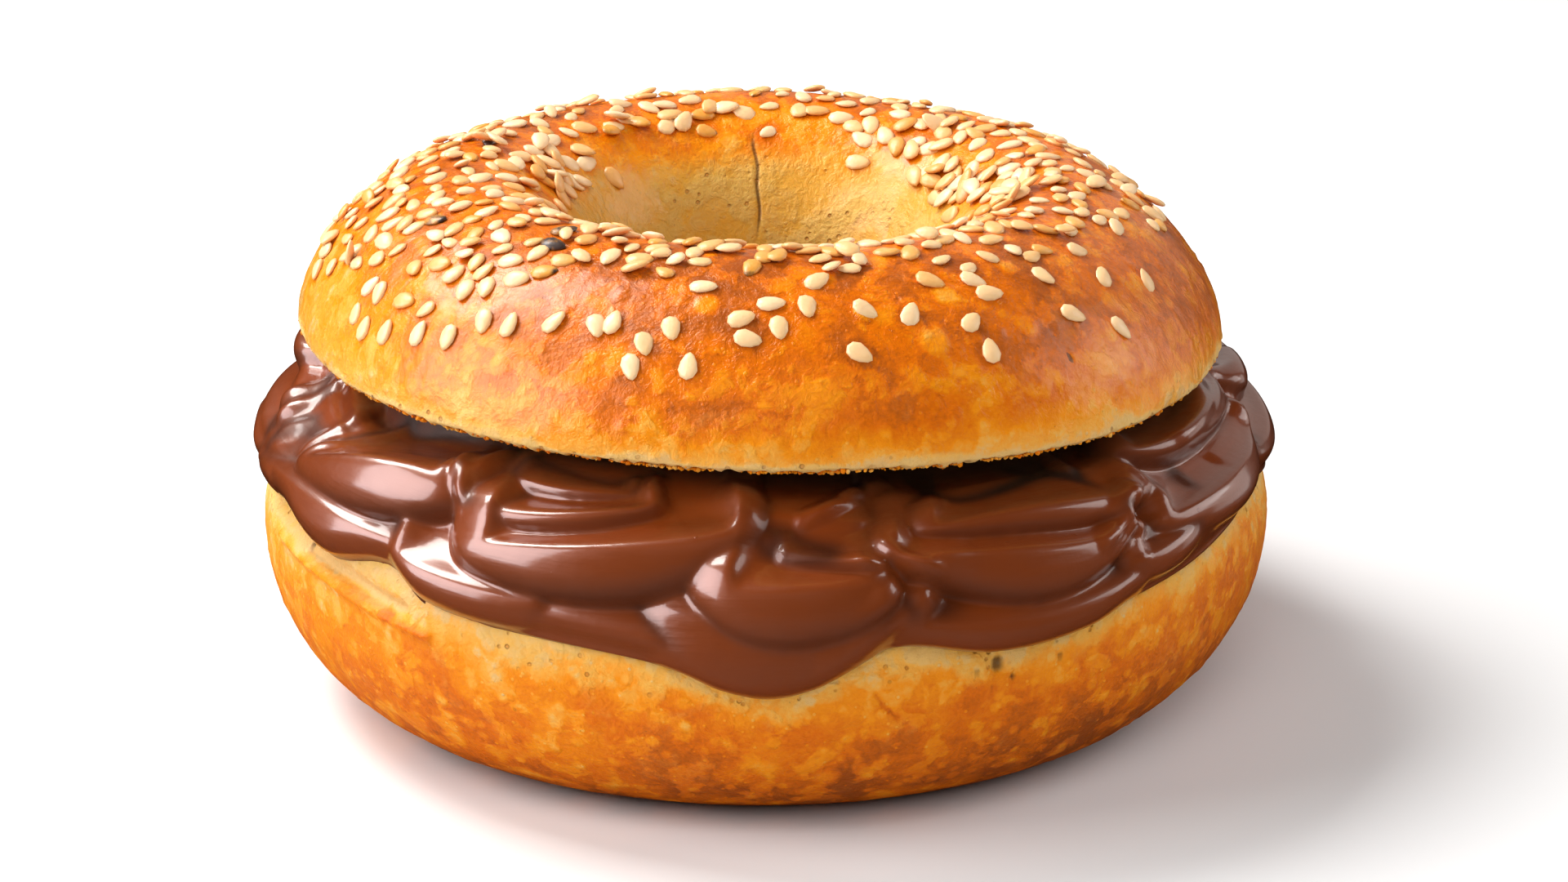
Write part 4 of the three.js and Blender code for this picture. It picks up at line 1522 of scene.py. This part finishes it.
    def build(self, finish: bpy.types.Material, lower: LowerHalf) -> bpy.types.Object:
        """Builds the spread.

        Args:
            finish: Its material.
            lower: The lower half that it lies on.

        Returns:
            The finished piece.
        """
        turned = np.arange(self.steps) / self.steps * TURN
        azimuth = (turned - self.crowd * np.sin(turned))[:, None]
        rim = self.rim.at(azimuth)
        along = np.linspace(0.0, 1.0, self.stations)[None, :] * rim
        swell, dish, crease_shade = self._swirl(azimuth, along, rim)
        radius, height, across, up = self.course.at(along)
        shown = radius + across * swell, np.minimum(height + up * swell, LAYOUT.spread_span[1])
        hidden = self._hidden(np.ones_like(azimuth))
        tucked = self._tucked(azimuth, lower)
        radii, heights = (np.concatenate(parts, axis=1) for parts in zip(hidden, shown, tucked))
        pad = ((0, 0), (hidden[0].shape[1], tucked[0].shape[1]))
        points = place(azimuth, radii, heights)
        points[..., 2] += LAYOUT.askew(points[..., 0], points[..., 2])
        flow = place(azimuth, self.mean_radius, np.pad(along, pad, mode="edge"))
        right = smoothstep(azimuth_gap(azimuth, 0.0), -0.2, 0.6)
        shade = 1.0 - smoothstep(along, 1.5, lerp(5.5, 11.0, right))
        shade = shade * smoothstep(np.cos(azimuth), 0.1, 0.5)
        marks = {
            "dish": np.pad(dish, pad),
            "crease_shade": np.pad(crease_shade, pad),
            "shade": np.pad(shade, pad),
            "flow": flow,
        }
        mesh = ring_mesh("spread_layer", LAYOUT.settled(points), marks)
        mesh.materials.append(finish)
        return enlist(link("spread_layer", mesh), Node.FILLING, Slot.SPREAD)


# ---- The upper half ----


@dataclass(frozen=True)
class Bubble:
    """Golden blister in the glaze, or a dark spot where its lift is below 0."""

    azimuth: float  # degrees
    angle: float  # degrees
    radius: float
    lift: float
    bake: float
    dark: float = 0.0


@dataclass(frozen=True)
class UpperHalf:
    """The upper half, in its own frame: its cut face is at height 0."""

    steps: int = 900
    ring_radius: float = 31.6
    outer_width: float = 18.6
    inner_width: float = 14.3
    widest: float = 1.5
    rise: float = 16.5
    back_rise: float = 0.4  # how much higher the crown is at the back, and lower at the front
    power: float = 1.7  # of the outer side
    hole_power: float = 1.95  # of the side towards the hole
    cut_inset: float = 2.4  # of the torn edge from the widest line
    edge_rise: float = 0.75  # how far the cut face curls up towards its outer edge
    edge_run: float = 9.0  # distance over which it curls up
    hole_inset: float = 0.8  # of the edge of the hole
    swell_rise: float = 0.4  # how much higher the crown is where the side swells out
    unround: tuple[tuple[int, float, float], ...] = (
        (2, 0.2, 100), (3, 0.3, 20), (5, 0.22, 250), (8, 0.12, 130),
    )  # fmt: skip
    baked: tuple[Triple, ...] = (
        # degrees over the crust, and how far it is baked there at the front and on the left
        (-9.0, 0.1, 0.1), (0.0, 0.18, 0.16), (6.0, 0.3, 0.22), (12.0, 0.48, 0.27), (20.0, 0.68, 0.32),
        (40.0, 0.78, 0.48), (70.0, 0.8, 0.68), (95.0, 0.72, 0.7), (108.0, 0.6, 0.6), (120.0, 0.5, 0.5),
        (132.0, 0.4, 0.4), (150.0, 0.2, 0.2), (180.0, 0.1, 0.1),
    )  # fmt: skip
    torn: Ripple = Ripple(0.32, 50, 230, 11)  # the torn lower edge
    crack_azimuth: float = 183.0  # degrees, in the wall of the hole
    crack_width: float = 0.24
    crack_depth: float = 0.22
    crack_radius: float = 17.0  # of the wall that it lies in
    band_edge: Ripple = Ripple(1.0, 4, 30, 3)  # of the pale band above the torn edge
    seed_halo: float = 2.4  # distance over which the glaze is darker round a seed
    halo_bake: float = 0.14  # how much darker
    bubbles: tuple[Bubble, ...] = (  # azimuth, angle, radius, lift and bake
        Bubble(22, 43, 1.9, 0.18, -0.36),
        Bubble(26.5, 59, 1.5, 0.15, -0.40),
        Bubble(39.5, 66, 1.3, 0.12, -0.36),
        Bubble(36, 45, 1.6, 0.12, -0.22),
        Bubble(13.5, 56, 1.1, 0.30, -0.55),
        Bubble(-8, 58, 1.6, 0.15, -0.40),
        Bubble(40, 31, 0.5, -0.15, 0.0, 0.9),
    )

    def crust(self, azimuth: Grid, angle: Grid, lift: float = 0.0) -> Grid:
        """Points of the crust.

        Args:
            azimuth: Where they are.
            angle: Counted from the outer side over the crown to the hole.
            lift: Height over the crust.

        Returns:
            The points, in the frame of the upper half.
        """
        swell = waves(azimuth, self.unround)
        side = np.cos(angle) >= 0.0
        width = np.where(side, self.outer_width + swell, -self.inner_width)
        rise = self.rise - self.back_rise * np.cos(azimuth) + self.swell_rise * swell
        power = np.where(side, self.power, self.hole_power)
        reach, climb = superellipse(width, rise, power, angle)
        return place(
            azimuth,
            self.ring_radius + reach + lift * np.cos(angle),
            self.widest + climb + lift * np.sin(angle),
        )

    def lip(self, azimuth: Grid, quarter: Grid) -> tuple[Grid, Grid]:
        """The rounding under the widest line.

        Args:
            azimuth: Where it is read.
            quarter: From 0 at the widest line to a quarter turn at the cut edge.

        Returns:
            Radii and heights.
        """
        inset = self.cut_inset * (1.0 - np.cos(quarter))
        radius = self.ring_radius + self.outer_width + waves(azimuth, self.unround) - inset
        return radius, lerp(self.widest, self.edge_rise, np.sin(quarter))

    def seat(self, azimuth: float, angle: float, heading: float, lean: Pair) -> Matrix:
        """Frame of something that lies on the crust.

        Args:
            azimuth: Where it lies.
            angle: Counted from the outer side over the crown.
            heading: Turn of its long axis from level.
            lean: How far it leans about its long and its short axis.

        Returns:
            Its turn: long axis, short axis and outward normal as columns.
        """
        step = 0.01
        here = self.crust(azimuth, angle)
        round_step = self.crust(azimuth + step, angle) - here
        normal = Vector(np.cross(round_step, self.crust(azimuth, angle + step) - here))
        normal.normalize()
        level = Vector((math.cos(azimuth), math.sin(azimuth), 0.0))
        along = Matrix.Rotation(heading, 3, normal) @ level
        along = (along - along.dot(normal) * normal).normalized()
        across = normal.cross(along)
        turn = Matrix((along, across, normal)).transposed()
        return turn @ Matrix.Rotation(lean[0], 3, "X") @ Matrix.Rotation(lean[1], 3, "Y")

    def _bake(self, azimuth: Grid, degrees: Grid) -> Grid:
        """How far the crust is baked: deep orange low down at the front, yellower on the left.

        Args:
            azimuth: Where it is read.
            degrees: Angle over the crust.

        Returns:
            From 0 for pale crumb to 1 for brown crust, lowered on the right shoulder as painted light.
        """
        stations, *sides = zip(*self.baked)
        front, left = (np.interp(degrees, stations, values) for values in sides)
        turned = -np.sin(azimuth + 0.25)
        # painted light: the right shoulder, which the lamps leave unlit, is painted a little paler
        shoulder = smoothstep(degrees, 5.0, 30.0) * (1.0 - smoothstep(degrees, 100.0, 130.0))
        painted_light = 0.05 * np.maximum(0.0, -turned) * shoulder
        return lerp(front, left, smoothstep(turned, 0.25, 0.85)) - painted_light

    def _near_seeds(self, points: Grid, seats: list[SeedSeat]) -> Grid:
        """How near the crust is to a seed.

        Args:
            points: Points of the crust, in the frame of the upper half.
            seats: Places of the seeds.

        Returns:
            1 beside a seed, falling to 0.
        """
        seeds = np.array([self.crust(seat.azimuth, seat.angle) for seat in seats])
        nearest = [np.linalg.norm(row[:, None] - seeds[None], axis=-1).min(axis=1) for row in points]
        return 1.0 - smoothstep(np.array(nearest), 0.8, self.seed_halo)

    def _outline(self, azimuth: Grid) -> tuple[Grid, Grid]:
        """The section, from the hole over the crust, round the torn edge and back over the cut face.

        Args:
            azimuth: Azimuths, one to a row.

        Returns:
            Points, and their angles over the crust in degrees, which are below 0 under its widest line.
        """
        stretches = ((180.0, 140.0, 15), (138.5, 90.0, 24), (89.0, 0.0, 54))
        degrees = np.concatenate([np.linspace(*stretch) for stretch in stretches])
        dome = self.crust(azimuth, np.radians(degrees)[None, :])
        quarter = np.radians(np.linspace(10.0, 90.0, 9))[None, :]
        lip_radius, lip_height = self.lip(azimuth, quarter)
        lip = place(azimuth, lip_radius, lip_height)
        torn = self.torn.at(azimuth)[:, 0]
        weight = np.sin(quarter)[0] ** 2
        lip[..., 2] -= np.clip(torn[:, None], -0.45, 0.55) * weight[None, :]
        hole = self.ring_radius - self.inner_width + self.hole_inset
        face_radius = lerp(lip_radius[:, -1:], hole, np.linspace(0.0, 1.0, 10)[None, 1:] ** 1.5)
        curl = 1.0 - smoothstep(lip_radius[:, -1:] - face_radius, 0.0, self.edge_run)
        face = place(azimuth, face_radius, self.edge_rise * curl)
        angle = np.concatenate([degrees, -np.linspace(1.0, 9.0, 9), np.full(9, -12.0)])[None, :]
        return np.concatenate([dome, lip, face], axis=1), angle * np.ones_like(azimuth)

    def _bubbled(self, points: Grid) -> tuple[Grid, Grid, Grid]:
        """Raises the bubbles.

        Args:
            points: The smooth crust.

        Returns:
            The crust with its bubbles, how much further they are baked, and how dark they are.
        """
        baked, dark = np.zeros(points.shape[:-1]), np.zeros(points.shape[:-1])
        for bubble in self.bubbles:
            middle = self.crust(math.radians(bubble.azimuth), math.radians(bubble.angle))
            away = np.linalg.norm(points - middle, axis=-1)
            near = 1.0 - smoothstep(away, 0.55 * bubble.radius, bubble.radius)
            outwards = middle / np.linalg.norm(middle)
            points = points + (bubble.lift * near)[..., None] * outwards
            baked = baked + bubble.bake * near
            dark = dark + bubble.dark * near
        return points, baked, dark

    def _crack(self, azimuth: Grid, angle: Grid) -> Grid:
        """The crack in the wall of the hole.

        Args:
            azimuth: Where it is read.
            angle: Degrees over the crust.

        Returns:
            1 in the crack, falling to 0 beside it.
        """
        bend = 0.012 * np.sin(angle * 0.09) + 0.006 * np.sin(angle * 0.33)
        beside = azimuth_gap(azimuth, math.radians(self.crack_azimuth)) + bend
        crack = np.exp(-((beside * self.crack_radius / self.crack_width) ** 2))
        crack = crack * smoothstep(angle, 112.0, 132.0)
        return crack * (1.0 - 0.7 * smoothstep(angle, 158.0, 172.0))

    def build(self, finish: bpy.types.Material, seats: list[SeedSeat]) -> bpy.types.Object:
        """Builds the crust and the cut face.

        Args:
            finish: Its material.
            seats: Places of the seeds on it.

        Returns:
            The finished piece.
        """
        azimuth = (np.arange(self.steps) / self.steps * TURN)[:, None]
        points, angle = self._outline(azimuth)
        points, bubbled, dark = self._bubbled(points)
        crack = self._crack(azimuth, angle)
        wall = smoothstep(angle, 130.0, 152.0)
        under = smoothstep(-angle, 6.0, 10.0)
        band = 1.0 - smoothstep(angle, -2.0, 7.0 + 2.0 * self.band_edge.at(azimuth))
        toasted = smoothstep(-angle, 4.0, 8.0) * (1.0 - smoothstep(-angle, 9.0, 11.0))
        halo = self.halo_bake * self._near_seeds(points, seats)
        marks = {
            "bake": self._bake(azimuth, angle) + 0.3 * toasted + halo + bubbled,
            "crumb": np.clip(np.maximum(np.maximum(0.8 * band, under), 0.5 * wall), 0.0, 1.0),
            # the wall of the hole, painted with the finish's wall colour, which is partly painted shade
            "wall": smoothstep(angle, 126.0, 146.0),
            "crack": np.clip(0.6 * crack + dark, 0.0, 1.0),
            "relief": (1.0 - under) * (1.0 - 0.5 * wall),
        }
        points = points + place(azimuth, 1.0, 0.0) * (self.crack_depth * crack)[..., None]
        piece = link("upper_half", ring_mesh("upper_half", LAYOUT.seated(points), marks))
        piece = CrustRelief().shape(piece, finish)
        return enlist(piece, Node.TOP, Slot.GLAZED)


# ---- Sesame seeds and toasted crumbs ----


@dataclass(frozen=True)
class SeedSeat:
    """Place of one seed on the crust."""

    azimuth: float
    angle: float
    heading: float
    size: float
    lift: float = 0.0  # over the crust, where it lies on other seeds


@dataclass(frozen=True)
class SesameSeeds:
    """The seeds: piled round the hole, thick over the back and both sides, few on the front."""

    upper: UpperHalf
    length: float = 3.1
    width: float = 2.0
    thickness: float = 0.80
    taper: float = 0.28
    belly: float = 0.14  # height of the middle of a seed over the crust
    front: tuple[Triple, ...] = (  # azimuth, angle and heading in degrees
        (-59, 36, -60), (-53, 26, 88), (-47, 30, 84), (-48, 52, 88), (-44, 48, -73), (-42, 32, -82),
        (-41, 51, -59), (-38, 40, -70), (-34, 41, 89), (-28, 45, 55), (-22, 46, -62), (-20, 48, 89),
        (-16, 34, -68), (-15, 42, -69), (-12, 48, -71), (-9, 36, 88), (-9, 65, -2), (-3, 53, 20),
        (-2, 46, -9), (1, 59, 9), (2, 50, -82), (6, 58, -87), (8, 69, 31), (12, 41, -37),
        (14, 56, -38), (20, 53, 62), (28, 48, 40), (29, 38, 80), (32, 63, -36), (33, 57, -18),
        (44, 44, -41), (44, 59, -81), (51, 35, -69), (56, 64, -20), (55, 52, 47), (64, 44, 77),
    )  # fmt: skip
    scorched: tuple[tuple[float, float, float, float], ...] = (  # and how far it is toasted
        (-34, 62, 25, 0.84), (-37, 75, 5, 0.97), (-64, 66, 30, 0.90), (-105, 91, 10, 0.91),
        (-39, 86, 60, 0.93),
    )  # fmt: skip
    drifts: tuple[tuple[float, float, float, float, int], ...] = (
        # azimuth and angle of the middle and their spreads in degrees, and number of seeds
        (80, 116, 15, 7, 44), (108, 127, 13, 6, 34), (-104, 121, 12, 8, 36), (-38, 102, 14, 5, 22),
        (6, 96, 22, 4, 24), (138, 118, 12, 6, 16), (-152, 112, 14, 5, 14),
    )  # fmt: skip
    seed: int = 20261
    wide_count: int = 112  # seeds that lie apart from each other
    wide_spacing: float = 5.8
    band: Pair = (20.0, 145.0)  # degrees over the crust
    sizes: Pair = (0.70, 1.05)
    front_size: float = 0.96
    tone: Pair = (0.30, 0.20)  # mean and spread of how far they are toasted
    toasted_share: float = 0.2
    toasted_tone: Pair = (0.55, 0.82)
    tone_seed: int = 7
    count: int = 620
    close_spacing: Pair = (1.3, 3.0)  # of the rest, drawn for each seed
    drift_spacing: float = 1.15
    pile_reach: float = 1.9  # a seed nearer than this to another lies on it
    pile_lift: float = 0.38
    draws: int = 60000

    @staticmethod
    def _density(azimuth: float, angle: float) -> float:
        """How thickly the seeds lie.

        Args:
            azimuth: Where it is read.
            angle: Counted from the outer side over the crown.

        Returns:
            From 0 to 1.
        """
        degrees = math.degrees(angle)
        front = float(smoothstep(np.cos(azimuth - 0.3), 0.35, 0.7))
        right = max(0.0, math.sin(azimuth))
        low = lerp(20.0 + 18.0 * right, 58.0, front)
        high = lerp(52.0 + 12.0 * right, 82.0, front)
        return float(smoothstep(degrees, low, high) * (1.0 - smoothstep(degrees, 106.0, 124.0)))

    def _try(self, seats: list[SeedSeat], points: list[Grid], seat: SeedSeat, spacing: float) -> None:
        """Lays a seed where it is far enough from the others, and on top of those that it overlaps.

        Args:
            seats: Seeds so far.
            points: Their places on the crust.
            seat: The new seed.
            spacing: How near it may be to another.
        """
        point = self.upper.crust(seat.azimuth, seat.angle)
        away = np.linalg.norm(np.array(points) - point, axis=1)
        if away.min() < spacing:
            return
        beneath = min(int(np.sum(away < self.pile_reach)), 2)
        points.append(point)
        seats.append(replace(seat, lift=beneath * self.pile_lift))

    def seats(self) -> list[SeedSeat]:
        """Returns the places of the seeds: listed, lying apart, in drifts, and the rest."""
        random = np.random.default_rng(self.seed)
        upper = self.upper
        placed = [*self.front, *(seat[:3] for seat in self.scorched)]
        seats = [SeedSeat(*map(math.radians, seat), self.front_size) for seat in placed]
        points = [upper.crust(seat.azimuth, seat.angle) for seat in seats]
        drifted = False
        for _ in range(self.draws):
            if len(seats) >= self.wide_count and not drifted:
                drifted = True
                for azimuth, angle, wide, high, count in self.drifts:
                    for across, over in random.normal((azimuth, angle), (wide, high), (count, 2)):
                        heading = random.uniform(0.0, TURN)
                        seat = SeedSeat(math.radians(across), math.radians(over), heading, 1.0)
                        self._try(seats, points, seat, self.drift_spacing)
            azimuth, heading = random.uniform(0.0, TURN, 2)
            angle = random.uniform(*map(math.radians, self.band))
            seat = SeedSeat(azimuth, angle, heading, random.uniform(*self.sizes))
            reach = np.hypot(*upper.crust(azimuth, angle)[:2]) / (upper.ring_radius + upper.outer_width)
            if random.random() > self._density(azimuth, angle) * reach:
                continue
            close = random.uniform(*self.close_spacing)
            self._try(seats, points, seat, close if drifted else self.wide_spacing)
            if len(seats) == self.count:
                break
        LOG.info("%d seeds", len(seats))
        return seats

    def tones(self, count: int, random: np.random.Generator) -> Grid:
        """How far each seed is toasted.

        Args:
            count: Number of seeds.
            random: Source of random numbers.

        Returns:
            From 0 for cream to 1 for burnt.
        """
        tone = np.clip(random.normal(*self.tone, count), 0.0, 0.75)
        toasted = random.random(count) < self.toasted_share
        tone = np.where(toasted, random.uniform(*self.toasted_tone, count), tone)
        first = len(self.front)
        tone[:first] = np.minimum(tone[:first], self.tone[0])
        tone[first : first + len(self.scorched)] = [seat[3] for seat in self.scorched]
        return tone

    def build(self, finish: bpy.types.Material, seats: list[SeedSeat]) -> bpy.types.Object:
        """Builds the seeds.

        Args:
            finish: Their material.
            seats: Their places.

        Returns:
            The finished piece.
        """
        random = np.random.default_rng(self.tone_seed)
        tilt = Matrix.Rotation(math.radians(LAYOUT.tilt_degrees), 3, "Y")
        points = [self.upper.crust(seat.azimuth, seat.angle, self.belly + seat.lift) for seat in seats]
        turns = []
        for seat in seats:
            lean = tuple(random.normal(0.0, 0.10 + 0.3 * seat.lift, 2))
            turn = tilt @ self.upper.seat(seat.azimuth, seat.angle, seat.heading, lean)
            turns.append(turn.to_euler("XYZ"))
        marks = {
            "turn": np.array(turns),
            "size": np.array([seat.size for seat in seats]),
            "tone": self.tones(len(seats), random),
        }
        scatter = Scatter(
            Grain.SEED,
            self.length,
            self.width,
            self.thickness,
            taper=self.taper,
            uneven=0.13,
            lumps=Cloud(1.1, 1.0),
        )
        piece = scatter.strew("sesame_seeds", LAYOUT.seated(np.array(points)), marks, finish)
        return enlist(piece, Node.TOP, Slot.GLAZED)


@dataclass(frozen=True)
class ToastedFringe:
    """Toasted crumbs that hang along the torn lower edge of the upper half."""

    upper: UpperHalf
    count: int = 4200
    size: float = 0.46
    clumps: Ripple = Ripple(0.5, 20, 90, 31)  # where they hang more thickly
    seed: int = 23

    def build(self, finish: bpy.types.Material) -> bpy.types.Object:
        """Builds the crumbs.

        Args:
            finish: Their material.

        Returns:
            The finished piece.
        """
        random = np.random.default_rng(self.seed)
        upper = self.upper
        azimuth = random.uniform(0.0, TURN, 3 * self.count)
        thick = 0.6 + self.clumps.at(azimuth) > random.random(azimuth.size)
        azimuth = azimuth[thick][: self.count]
        in_lip = random.beta(2.6, 1.8, azimuth.size)
        radius, height = upper.lip(azimuth, np.radians(lerp(20.0, 90.0, in_lip)))
        height = height + 0.06 - 0.20 * random.random(azimuth.size)
        marks = {
            "turn": random.uniform(0.0, TURN, (azimuth.size, 3)),
            "size": np.clip(random.lognormal(-0.2, 0.4, azimuth.size), 0.35, 1.7),
            "bake": np.clip(random.normal(0.52, 0.14, azimuth.size), 0.15, 0.9),
            "crumb": np.zeros(azimuth.size),
        }
        scatter = Scatter(
            Grain.CRUMB,
            self.size,
            self.size * 0.8,
            self.size * 0.7,
            uneven=0.08,
            lumps=Cloud(0.4, 1.0),
        )
        points = LAYOUT.seated(place(azimuth, radius, height))
        piece = scatter.strew("toasted_crumbs", points, marks, finish)
        return enlist(piece, Node.TOP, Slot.GLAZED)


# ---- The studio ----


@dataclass(frozen=True)
class SoftLight:
    """Square soft light that points at the bagel."""

    name: str
    place: Triple  # metres
    size: float  # metres
    power: float  # watts
    color: Color = (1.0, 1.0, 1.0)
    mirrored: bool = True  # whether glossy surfaces show it
    lit: bool = True  # whether it lights what isn't glossy

    def hang(self) -> None:
        """Adds the light to the scene."""
        lamp = bpy.data.lights.new(self.name, "AREA")
        lamp.size = self.size
        lamp.energy = self.power
        lamp.color = self.color
        holder = bpy.data.objects.new(self.name, lamp)
        holder.location = self.place
        holder.visible_glossy = self.mirrored
        holder.visible_diffuse = self.lit
        aim = Vector((0.0, 0.0, 0.03)) - Vector(self.place)
        holder.rotation_euler = aim.to_track_quat("-Z", "Y").to_euler()
        bpy.context.scene.collection.objects.link(holder)


@dataclass(frozen=True)
class Studio:
    """Floor, lights, sky and camera."""

    floor_size: float = 4.0  # metres
    sky: float = 0.13
    elevation_degrees: float = 18.846
    distance: float = 430.0
    target: Pair = (2.09, 25.36)  # x and height of the point that the camera looks at
    target_y: float = 0.8
    lens: float = 89.70
    lights: tuple[SoftLight, ...] = (
        SoftLight("key", (-0.42, 0.24, 0.66), 0.38, 8.0, (1.0, 0.98, 0.96)),
        SoftLight("left", (-0.72, -0.20, 0.48), 0.50, 5.5, mirrored=False),
        SoftLight("left_sheen", (-0.85, -0.26, 0.40), 0.74, 14.5, (0.97, 0.90, 0.94), lit=False),
        SoftLight("back_sheen", (0.30, 0.85, 0.44), 0.80, 1.0, (1.0, 0.90, 0.84), lit=False),
        SoftLight("right_sheen", (0.85, 0.42, 0.10), 0.50, 0.8, (1.0, 0.94, 0.90), lit=False),
        SoftLight("right", (0.62, 0.10, 0.34), 0.40, 1.5),
        SoftLight("fill", (0.05, -0.65, 0.62), 0.60, 3.2, mirrored=False),
    )

    def _floor(self) -> None:
        """Adds the floor, whose top is at the height of the bagel's flat."""
        half = self.floor_size / 2.0
        corners = [(-half, -half, 0), (half, -half, 0), (half, half, 0), (-half, half, 0)]
        mesh = bpy.data.meshes.new("floor")
        mesh.from_pydata(corners, [], [(0, 1, 2, 3)])
        mesh.materials.append(FloorFinish().material())
        floor = link("floor", mesh)
        floor.visible_glossy = False

    def _sky(self) -> None:
        """Lights the scene evenly from all round."""
        world = bpy.data.worlds.new("studio")
        bpy.context.scene.world = world
        world.use_nodes = True
        background = world.node_tree.nodes["Background"]
        background.inputs["Color"].default_value = (1.0, 1.0, 1.0, 1.0)
        background.inputs["Strength"].default_value = self.sky
        world.cycles_visibility.glossy = False

    def _camera(self) -> None:
        """Adds the camera."""
        tilt = math.radians(self.elevation_degrees)
        eye = bpy.data.objects.new("camera", bpy.data.cameras.new("camera"))
        eye.data.lens = self.lens
        eye.data.clip_start = 0.01
        away, up = self.distance * math.cos(tilt), self.distance * math.sin(tilt)
        eye.location = Vector((self.target[0], self.target_y - away, self.target[1] + up)) * MM
        eye.rotation_euler = (math.pi / 2.0 - tilt, 0.0, 0.0)
        bpy.context.scene.collection.objects.link(eye)
        bpy.context.scene.camera = eye

    def build(self) -> None:
        """Builds the studio."""
        self._camera()
        self._floor()
        self._sky()
        for light in self.lights:
            light.hang()
        bpy.context.scene.view_settings.view_transform = "Standard"


# ---- The bagel ----


def main() -> None:
    """Builds the bagel round its solids."""
    logging.basicConfig(level=logging.INFO, format="%(name)s: %(message)s")
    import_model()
    Studio().build()
    glazed = CrustFinish("crust_glazed", roughness=0.32, gloss=0.28, coat=0.30).material()
    matt = CrustFinish(
        "crust_matt",
        roughness=0.5,
        gloss=0.2,
        coat=0.06,
        mottle=0.26,
        scorch=0.08,
        blisters=0.8,
        pith=(0.70, 0.40, 0.09),
    ).material()
    steps = 900
    lower = LowerHalf(steps=steps)
    spread = SpreadLayer(steps=880)
    upper = UpperHalf(steps=steps)
    seeds = SesameSeeds(upper)
    seats = seeds.seats()
    lower.build(matt, spread.rim_height)
    spread.build(SpreadFinish("chocolate").material(), lower)
    upper.build(glazed, seats)
    seeds.build(SeedFinish("sesame").material(), seats)
    ToastedFringe(upper).build(matt)


if __name__ == "__main__":
    main()
